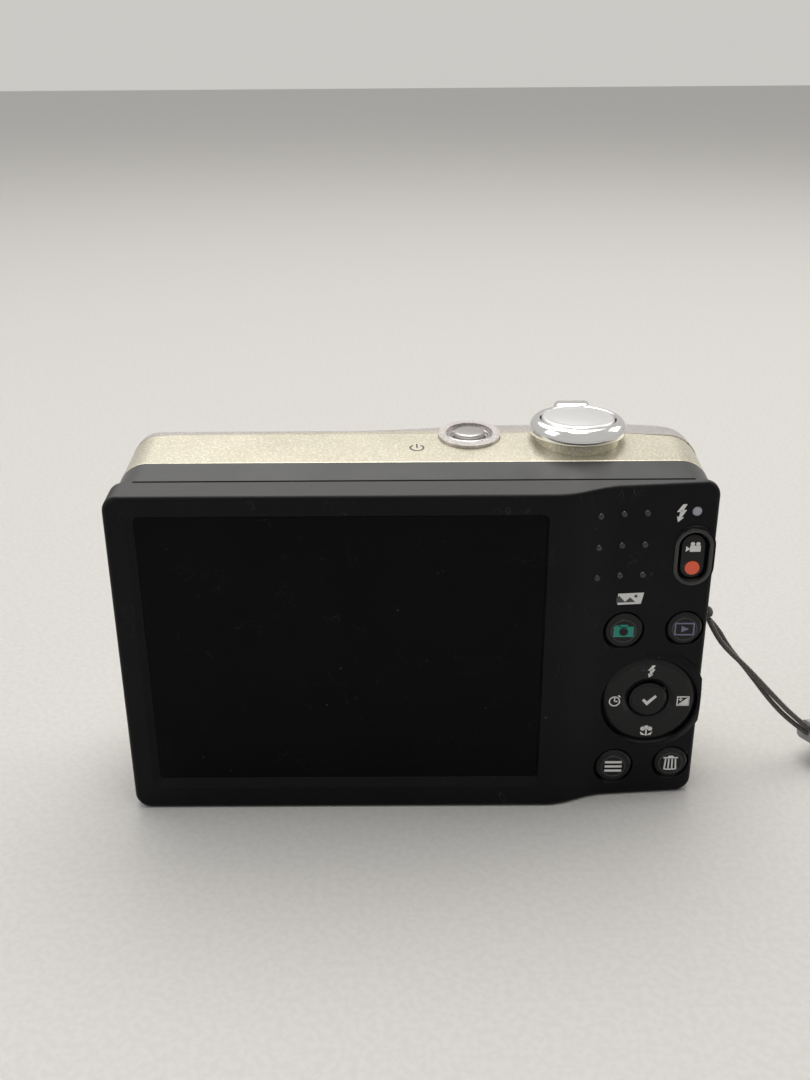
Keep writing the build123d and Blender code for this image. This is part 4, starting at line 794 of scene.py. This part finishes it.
# ---------------------------------------------------------------- strap
@dataclass
class Strap:
    """The wrist strap: hitch, two strands, ferrule and the folded webbing."""

    cord: float = 0.9
    rear: tuple[Station, ...] = ((49.9, 10.4, 30.6), (51.3, 10.2, 27.9), (53.4, 10.3, 25.0),
                                 (57.6, 10.9, 20.9), (62.9, 11.6, 15.0), (67.5, 12.2, 10.0),
                                 (70.9, 12.5, 7.2))
    front: tuple[Station, ...] = ((49.9, 11.6, 30.4), (52.0, 11.9, 28.2), (54.2, 11.9, 24.4),
                                  (58.3, 12.0, 19.5), (62.9, 12.3, 13.3), (67.2, 12.5, 8.8),
                                  (70.9, 12.6, 6.0))
    heading: tuple[float, float] = (0.853, 0.522)
    ferrule_end: Station = (81.69, 19.19, 2.5)
    webbing_width: float = 5.6
    webbing_half: float = 0.5
    layers: tuple[float, ...] = (0.66, 2.06, 3.46, 4.86)
    fan: float = 0.78

    def spline(self, name: str, points: list[Vector], closed: bool = False) -> bpy.types.Curve:
        """Make a smooth curve through the pull of its points.

        Args:
            name: Name of the curve.
            points: Control points in metres.
            closed: Whether it runs back to its start.

        Returns:
            The curve.
        """
        curve = bpy.data.curves.new(name, "CURVE")
        curve.dimensions = "3D"
        curve.resolution_u = 10
        line = curve.splines.new("NURBS")
        line.points.add(len(points) - 1)
        for point, place in zip(line.points, points):
            point.co = (*place, 1.0)
        line.order_u = 3
        line.use_cyclic_u = closed
        line.use_endpoint_u = not closed
        return curve

    def round_cord(self, name: str, points: list[Vector], closed: bool = False) -> bpy.types.Object:
        """Make a round cord along points.

        Args:
            name: Name of the piece.
            points: Control points in metres.
            closed: Whether it runs back to its start.

        Returns:
            The new object.
        """
        curve = self.spline(name, points, closed)
        curve.bevel_depth = self.cord / 2 * MM
        curve.bevel_resolution = 5
        curve.use_fill_caps = True
        curve.materials.append(CORD.material())
        made = linked(name, curve)
        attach(made, "root")
        LOG.info("cord %s", name)
        return made

    def hitch(self) -> bpy.types.Object:
        """Make the loop round the eyelet's bar with its knot."""
        loop = []
        for step in range(12):
            turn = math.tau * step / 12
            loop.append(at(47.2 + 1.25 * math.cos(turn), 11.0 + 1.25 * math.sin(turn),
                           32.0 + 0.25 * math.sin(turn)))
        ring = self.round_cord("strap_loop", loop, True)
        knot = []
        for step in range(30):
            turn = math.tau * step / 30
            knot.append(at(49.35 + 0.5 * (math.sin(turn) + 1.5 * math.sin(2 * turn)) * 0.75,
                           11.0 - 0.7 * math.sin(3 * turn) * 0.8,
                           31.4 + 0.5 * (math.cos(turn) - 1.5 * math.cos(2 * turn)) * 0.9))
        tied = self.round_cord("strap_knot", knot, True)
        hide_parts("strap_hitch")
        return tied

    def strands(self, knot: bpy.types.Object) -> None:
        """Make both strands from the knot to the ferrule.

        Args:
            knot: The knot that they leave; not used.
        """
        for name, stations, length in (("rear_strand", self.rear, 31.7), ("front_strand", self.front, 32.4)):
            points = [at(*station) for station in stations]
            made = self.round_cord(f"{name}_cord", points)
            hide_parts(name)

    def along(self, run: float, height: float, aside: float = 0.0) -> Vector:
        """Give a point of the hank.

        Args:
            run: Distance from the ferrule's end.
            height: Height over the base.
            aside: Distance to the hank's left.

        Returns:
            The point in metres.
        """
        x, depth, _ = self.ferrule_end
        across, forward = self.heading
        return at(x + across * run - forward * aside, depth + forward * run + across * aside, height)

    def webbing(self) -> None:
        """Make the folded webbing and what holds it."""
        low, second, third, high = self.layers
        left, right = self.fan, -self.fan
        route = [(0.3, 2.5, 0.0), (4.0, 2.2, 0.0), (8.0, low, left), (24.0, low, left), (48.0, low, left),
                 (66.0, low, left), (71.5, low - 0.05, left), (73.2, (low + second) / 2, 0.0),
                 (71.0, second + 0.05, right), (66.0, second, right), (48.0, second, right),
                 (24.0, second, right), (12.0, second, right), (9.2, second - 0.1, right),
                 (7.8, (second + third) / 2, 0.0),
                 (9.2, third + 0.1, left), (12.0, third, left), (24.0, third, left), (48.0, third, left),
                 (64.0, third, left), (70.2, third - 0.1, left), (72.4, (third + high) / 2, 0.0),
                 (70.2, high + 0.1, right), (64.0, high, right), (48.0, high, right), (24.0, high, right),
                 (10.0, high, right)]
        curve = self.spline("webbing_line", [self.along(*station) for station in route])
        curve.twist_mode = "MINIMUM"
        bare = linked("webbing_line", curve)
        bpy.context.view_layer.update()
        graph = bpy.context.evaluated_depsgraph_get()
        line = bpy.data.meshes.new_from_object(bare.evaluated_get(graph))
        path = [vert.co.copy() for vert in line.vertices]
        bpy.data.objects.remove(bare)
        side = Vector((-self.heading[1], self.heading[0], 0)) * (self.webbing_width / 2 * MM)
        mesh = bmesh.new()
        spine = [mesh.verts.new(place - side) for place in path]
        edges = [mesh.edges.new(pair) for pair in zip(spine, spine[1:])]
        grown = bmesh.ops.extrude_edge_only(mesh, edges=edges)["geom"]
        bmesh.ops.translate(mesh, verts=[v for v in grown if isinstance(v, bmesh.types.BMVert)], vec=side * 2)
        layer = mesh.loops.layers.uv.new("weave")
        order = {vert: index for index, vert in enumerate(mesh.verts)}
        last = len(path) - 1
        for face in mesh.faces:
            for loop in face.loops:
                index = order[loop.vert]
                loop[layer].uv = ((index if index <= last else index - last - 1) / last,
                                  0.0 if index <= last else 1.0)
        data = bpy.data.meshes.new("webbing_band")
        mesh.to_mesh(data)
        mesh.free()
        data.materials.append(WEBBING.material())
        data.shade_smooth()
        made = linked("webbing_band", data)
        solid = made.modifiers.new("thickness", "SOLIDIFY")
        solid.thickness = 2 * self.webbing_half * MM
        solid.offset = 0.0
        rounded = made.modifiers.new("edge", "BEVEL")
        rounded.width = 0.25 * MM
        rounded.segments = 2
        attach(made, "root")
        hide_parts("strap_webbing")
        keeper = self.sleeve("webbing_keeper", 10.0, 4.0, 0.3, FERRULE)
        self.sleeve("hank_tie", 40.0, 1.6, 0.25, CORD)
        length = sum((b - a).length for a, b in zip(path, path[1:]))
        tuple(path[0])

    def sleeve(self, name: str, run: float, length: float, wall: float, finish: Finish) -> bpy.types.Object:
        """Make a close band round the hank.

        Args:
            name: Name of the piece.
            run: Its middle, along the hank.
            length: Its length along the hank.
            wall: Its thickness.
            finish: Its finish.

        Returns:
            The new object.
        """
        width, low, high = self.webbing_width + 2 * (wall + self.fan) + 0.1, 0.04, 5.76
        frame_x = Vector((self.heading[0], self.heading[1], 0))
        frame_y = Vector((-self.heading[1], self.heading[0], 0))
        turn = Matrix((frame_x, frame_y, (0, 0, 1))).transposed().to_4x4()
        mesh = box(self.along(run, (low + high) / 2), (length, width, high - low), turn)
        spans = {edge: (edge.verts[0].co - edge.verts[1].co).normalized() for edge in mesh.edges}
        long_edges = [edge for edge, span in spans.items() if abs(span.dot(frame_x)) > 0.9]
        round_edges(mesh, long_edges, 0.8, 4)
        ends = [face for face in mesh.faces if abs(face.normal.dot(frame_x)) > 0.9]
        bmesh.ops.inset_region(mesh, faces=ends, thickness=wall * MM, use_even_offset=True)
        bmesh.ops.bridge_loops(mesh, edges=[e for f in ends for e in f.edges])
        bmesh.ops.delete(mesh, geom=ends, context="FACES")
        return to_object(mesh, name, finish, "root")

    def build(self) -> None:
        """Make the whole strap."""
        self.strands(self.hitch())
        self.webbing()


# ---------------------------------------------------------------- controls
@dataclass
class TopControls:
    """The zoom ring with its tab, the spun shutter disc and the power mark."""

    x: float = ZOOM_PLACE[0]
    depth: float = ZOOM_PLACE[1]

    def ring(self) -> None:
        """Make the polished zoom ring and its tab."""
        profile = ((5.06, 60.62), (7.55, 60.62), (7.9, 60.72), (8.06, 60.95), (8.09, 61.25), (8.02, 61.7),
                   (7.84, 62.2), (7.58, 62.62), (7.25, 62.95), (6.9, 63.12), (6.6, 63.14), (6.38, 63.03),
                   (6.27, 62.8), (6.26, 62.5), (6.26, 61.06), (5.06, 61.06))
        made = to_object(turned(profile, self.x, self.depth), "zoom_ring_chrome", CHROME, "zoom_ring")
        tab = box(at(self.x, 28.6, 62.2), (6.3, 3.4, 2.5))
        round_edges(tab, tab.edges[:], 0.95, 4)
        to_object(tab, "zoom_tab", CHROME, "zoom_ring")
        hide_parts("zoom_ring")
        for step in range(-2, 3):
            rib = rod(Matrix.Translation(at(self.x + step * 1.05, 30.02, 61.8)), 0.28, 1.2, 16)
            ends = [e for e in rib.edges if abs(e.verts[0].co.z - e.verts[1].co.z) < 1e-7]
            round_edges(rib, ends, 0.12, 2)
            to_object(rib, f"zoom_tab_rib_{step + 3}", CHROME, "zoom_ring")

    def disc(self) -> None:
        """Make the spun disc of the shutter button."""
        profile = ((0.0, 63.47), (1.6, 63.465), (3.2, 63.42), (4.6, 63.33), (5.3, 63.26), (5.55, 63.29),
                   (5.8, 63.24), (6.0, 63.05), (6.09, 62.75), (6.09, 62.16), (0.0, 62.16))
        made = to_object(turned(profile, self.x, self.depth, 160), "shutter_disc", SPUN, "shutter_button")
        stem = ((0.0, 62.2), (2.0, 62.2), (2.0, 57.9), (2.98, 57.9), (2.98, 57.42), (0.0, 57.42))
        to_object(turned(stem, self.x, self.depth, 48), "shutter_stem", INNER, "shutter_button")
        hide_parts("shutter_button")

    def power(self) -> None:
        """Lay the bright ring in the trough round the power button and the flat face on the button."""
        x, depth = POWER_PLACE
        ring = tuple((3.45 + 0.42 * math.cos(math.tau * step / 16),
                      59.55 + 0.34 * math.sin(math.tau * step / 16))
                     for step in range(16))
        to_object(turned(ring, x, depth, 96), "power_ring", RING, "root")
        face = ((0.0, 60.47), (2.1, 60.47), (2.4, 60.43), (2.58, 60.3), (2.62, 60.1), (2.62, 60.0),
                (0.0, 60.0))
        to_object(turned(face, x, depth, 96), "power_face", POWER, "power_button")

    def seam(self) -> None:
        """Fill the groove between the rear cover and the frame with a flat black strip: a painted shadow of
        the groove.
        """
        line = box(at(0.0, 5.42, 57.75), (88.0, 0.46, 0.36))
        to_object(line, "rear_seam_shadow_strip", SEAM_SHADOW, "root")

    def mark(self) -> None:
        """Print the plain power sign beside the power button."""
        sign = Mark()
        for step in range(20):
            turn = math.radians(130 + step * 14.7)
            sign.bar(1.1 * math.cos(turn), 1.1 * math.sin(turn), 0.3, 0.34, math.degrees(turn))
        sign.bar(0, 0.75, 0.28, 1.5)

        def place(u: float, v: float, w: float) -> Vector:
            """Lay a point on the sloping top."""
            depth = 17.4 + v
            return at(0.6 + u, depth, 58.6 + 0.1 * (depth - 12.0) + 0.02 + w)

        sign.put("power_mark", place, PRINT_DARK, "root", "champagne", 0.08)

    def build(self) -> None:
        """Make all of it."""
        self.ring()
        self.disc()
        self.power()
        self.seam()
        self.mark()


@dataclass
class RearControls:
    """The marks on the buttons and beside them, and the movie button's dot."""

    pad_lift: float = 0.02

    def bolt(self, size: float) -> Mark:
        """Draw a lightning bolt with an arrow's tip.

        Args:
            size: Its height.

        Returns:
            The mark.
        """
        s = size / 2
        mark = Mark()
        mark.outline((0.1 * s, 1.0 * s), (0.55 * s, 1.0 * s), (0.1 * s, 0.15 * s), (-0.5 * s, 0.15 * s))
        mark.outline((-0.12 * s, 0.35 * s), (0.55 * s, 0.35 * s), (-0.05 * s, -0.6 * s),
                     (-0.25 * s, -0.45 * s))
        mark.outline((-0.45 * s, -0.35 * s), (0.3 * s, -0.5 * s), (-0.3 * s, -1.0 * s))
        return mark

    def on_pad(self) -> None:
        """Print the marks on the pad itself."""
        surface = pad(self.pad_lift)
        self.bolt(3.0).put("lamp_mark", rear_place(41.9, 52.8, surface), PRINT_WHITE, "root", "rear_black")
        plate = Mark().outline((-3.0, -1.0), (2.8, -1.0), (3.2, 1.0), (-2.6, 1.0))
        plate.follow().put("mode_plate", rear_place(33.8, 38.2, surface), PRINT_WHITE, "root", "rear_black")
        higher = pad(self.pad_lift + 0.015)
        picture = Mark().outline((-2.1, -0.62), (0.3, -0.62), (-0.85, 0.62))
        picture.outline((0.1, -0.62), (1.9, -0.62), (0.95, 0.25))
        picture.dot(1.9, 0.42, 0.26)
        picture.follow().put("mode_plate_picture", rear_place(33.8, 38.2, higher), PRINT_DARK, "root",
                             "rear_black", 0.03)

    def on_buttons(self) -> None:
        """Print the marks on the round buttons."""
        glyph = Mark().bar(0, -0.1, 3.3, 1.9).bar(0, 0.95, 1.3, 0.5).bar(-1.1, 0.95, 0.6, 0.25)
        glyph.put("mode_mark", rear_place(*BUTTON_PLACES["mode"], cap("mode")), PRINT_TEAL, "mode_button")
        eye = Mark().dot(0, -0.1, 0.72)
        eye.put("mode_mark_eye", rear_place(*BUTTON_PLACES["mode"], cap("mode", 0.25)), BUTTON, "mode_button",
                thickness=0.05)
        play = Mark().frame(0, 0, 3.3, 2.3, 0.24).outline((-0.5, -0.6), (0.75, 0.0), (-0.5, 0.6))
        play.put("playback_mark", rear_place(*BUTTON_PLACES["playback"], cap("playback")), PRINT_LILAC,
                 "playback_button")
        menu = Mark().bar(0, 0.85, 2.9, 0.42).bar(0, 0, 2.9, 0.42).bar(0, -0.85, 2.9, 0.42)
        menu.put("menu_mark", rear_place(*BUTTON_PLACES["menu"], cap("menu")), PRINT_WHITE, "menu_button")
        can = Mark().bar(0, 1.05, 2.5, 0.26).bar(0, 1.32, 0.9, 0.28).bar(0, -1.3, 1.7, 0.26)
        for u in (-0.98, -0.33, 0.33, 0.98):
            can.bar(u * 0.93, -0.25, 0.26, 2.1, u * 4)
        can.put("delete_mark", rear_place(*BUTTON_PLACES["delete"], cap("delete")), PRINT_WHITE,
                "delete_button")

    def rim(self, name: str, middle: Station, width: float, height: float, body: str,
            radius: float = 0.2) -> None:
        """Lay a thin rounded line round a button, shaped like a slot with round ends.

        Args:
            name: Name of the piece.
            middle: Its middle: across, depth and height.
            width: Its width.
            height: Its height.
            body: Body that it rides on.
            radius: Radius of the line itself.
        """
        x, depth, z = middle
        mesh = bmesh.new()
        steps = 96
        section = ((0.0, -1.0), (0.7, -0.7), (1.0, 0.0), (0.7, 0.7), (0.0, 1.0), (-0.7, 0.7), (-1.0, 0.0),
                   (-0.7, -0.7))
        sides = len(section)
        for step in range(steps):
            turn = math.tau * step / steps
            shift = math.copysign((height - width) / 2, math.sin(turn) + 1e-9)
            for out, back in section:
                reach = width / 2 + out * radius
                mesh.verts.new(at(x + reach * math.cos(turn), depth + back * radius,
                                  z + shift + reach * math.sin(turn)))
        mesh.verts.ensure_lookup_table()
        for step in range(steps):
            after = (step + 1) % steps
            for side in range(sides):
                beside = (side + 1) % sides
                corners = (step * sides + side, step * sides + beside, after * sides + beside,
                           after * sides + side)
                mesh.faces.new([mesh.verts[corner] for corner in corners])
        to_object(mesh, name, RIM_BLACK, body)

    def rims(self) -> None:
        """Lay the rounded rims of the movie button's surround and of the round buttons."""
        x, z = MOVIE_PLACE
        self.rim("movie_rim", (x, pad_depth(x) - 0.22, z), 5.5, 9.2, "root", 0.42)
        for name, (x, z) in BUTTON_PLACES.items():
            self.rim(f"{name}_rim", (x, pad_depth(x) - 0.1, z), 4.0, 4.0, f"{name}_button", 0.16)

    def bumps(self) -> None:
        """Cap the nine grip bumps with glossier domes."""
        mesh = bmesh.new()
        for x in BUMP_COLUMNS:
            for z in BUMP_ROWS:
                middle = Matrix.Translation(at(x, pad_depth(x) + 0.2, z))
                bmesh.ops.create_icosphere(mesh, subdivisions=3, radius=0.66 * MM, matrix=middle)
        to_object(mesh, "grip_bumps", RIM_BLACK, "root")

    def on_movie(self) -> None:
        """Print the movie button's mark and set its dot."""
        flat = at_depth(pad_depth(MOVIE_PLACE[0]) - 0.125)
        film = Mark().bar(0.15, -0.1, 1.7, 1.05).dot(-0.3, 0.72, 0.34).dot(0.55, 0.72, 0.34)
        film.outline((-0.75, -0.05), (-1.35, 0.35), (-1.35, -0.6), (-0.75, -0.25))
        film.put("movie_mark", rear_place(44.5, 46.75, flat), PRINT_WHITE, "movie_button", thickness=0.06)
        dot = rod(Matrix.Translation(at(44.45, 3.86, 43.3)) @ Matrix.Rotation(math.pi / 2, 4, "X"),
                  1.2, 0.24, 48)
        ends = [e for e in dot.edges if abs(e.verts[0].co.y - e.verts[1].co.y) < 1e-7]
        round_edges(dot, ends, 0.09, 3)
        to_object(dot, "movie_dot", PRINT_RED, "movie_button")

    def on_selector(self) -> None:
        """Print the marks on the selector and its middle button."""
        x, z = SELECTOR_PLACE
        flat = at_depth(3.195)
        out = 5.75  # from the selector's middle to its signs
        self.bolt(2.3).put("selector_flash_mark", rear_place(x, z + out, flat), PRINT_WHITE,
                           "multi_selector")
        clock = Mark().ring(0, 0, 0.95, 0.2).bar(0, 0.3, 0.2, 0.75).bar(0.22, 0, 0.55, 0.2)
        clock.bar(0.75, 0.98, 0.5, 0.24, -40)
        clock.put("selector_timer_mark", rear_place(x - out, z, flat), PRINT_WHITE, "multi_selector")
        flower = Mark().dot(0, 0.55, 0.42).dot(-0.62, 0.35, 0.38).dot(0.62, 0.35, 0.38)
        flower.bar(0, -0.35, 0.24, 1.3).outline((0, -0.95), (-1.05, -0.2), (-0.85, -0.85))
        flower.outline((0, -0.95), (0.85, -0.85), (1.05, -0.2))
        flower.put("selector_near_mark", rear_place(x, z - out, flat), PRINT_WHITE, "multi_selector")
        level = Mark().frame(0, 0, 2.1, 1.8, 0.18).outline((-0.95, -0.8), (0.95, -0.8), (0.95, 0.8))
        level.bar(-0.42, 0.32, 0.62, 0.16).bar(-0.42, 0.32, 0.16, 0.62)
        level.put("selector_level_mark", rear_place(x + out, z, flat), PRINT_WHITE, "multi_selector")
        tick = Mark().outline((-1.15, 0.15), (-0.75, 0.45), (-0.3, -0.1), (1.0, 1.15), (1.3, 0.8),
                              (-0.28, -0.85))
        tick.put("ok_mark", rear_place(x, z, at_depth(3.255)), PRINT_WHITE, "ok_button")

    def build(self) -> None:
        """Make all of it."""
        self.on_pad()
        self.rims()
        self.bumps()
        self.on_buttons()
        self.on_movie()
        self.on_selector()


def dress_nodes() -> None:
    """Give every CAD node its finish."""
    for name, finish in NODE_FINISHES.items():
        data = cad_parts[name].data
        data.materials.clear()
        data.materials.append(finish.material())


def main() -> None:
    """Build the scene."""
    logging.basicConfig(level=logging.INFO)
    for name, maker in (("fine_grain", make_grain), ("handling_wear", make_wear), ("dust", make_dust),
                        ("flake", make_flake), ("braid", make_braid)):
        GROUPS[name] = maker()
    for part in (Studio(), Strap(), TopControls(), RearControls()):
        part.build()
    dress_nodes()


if __name__ == "__main__":
    main()
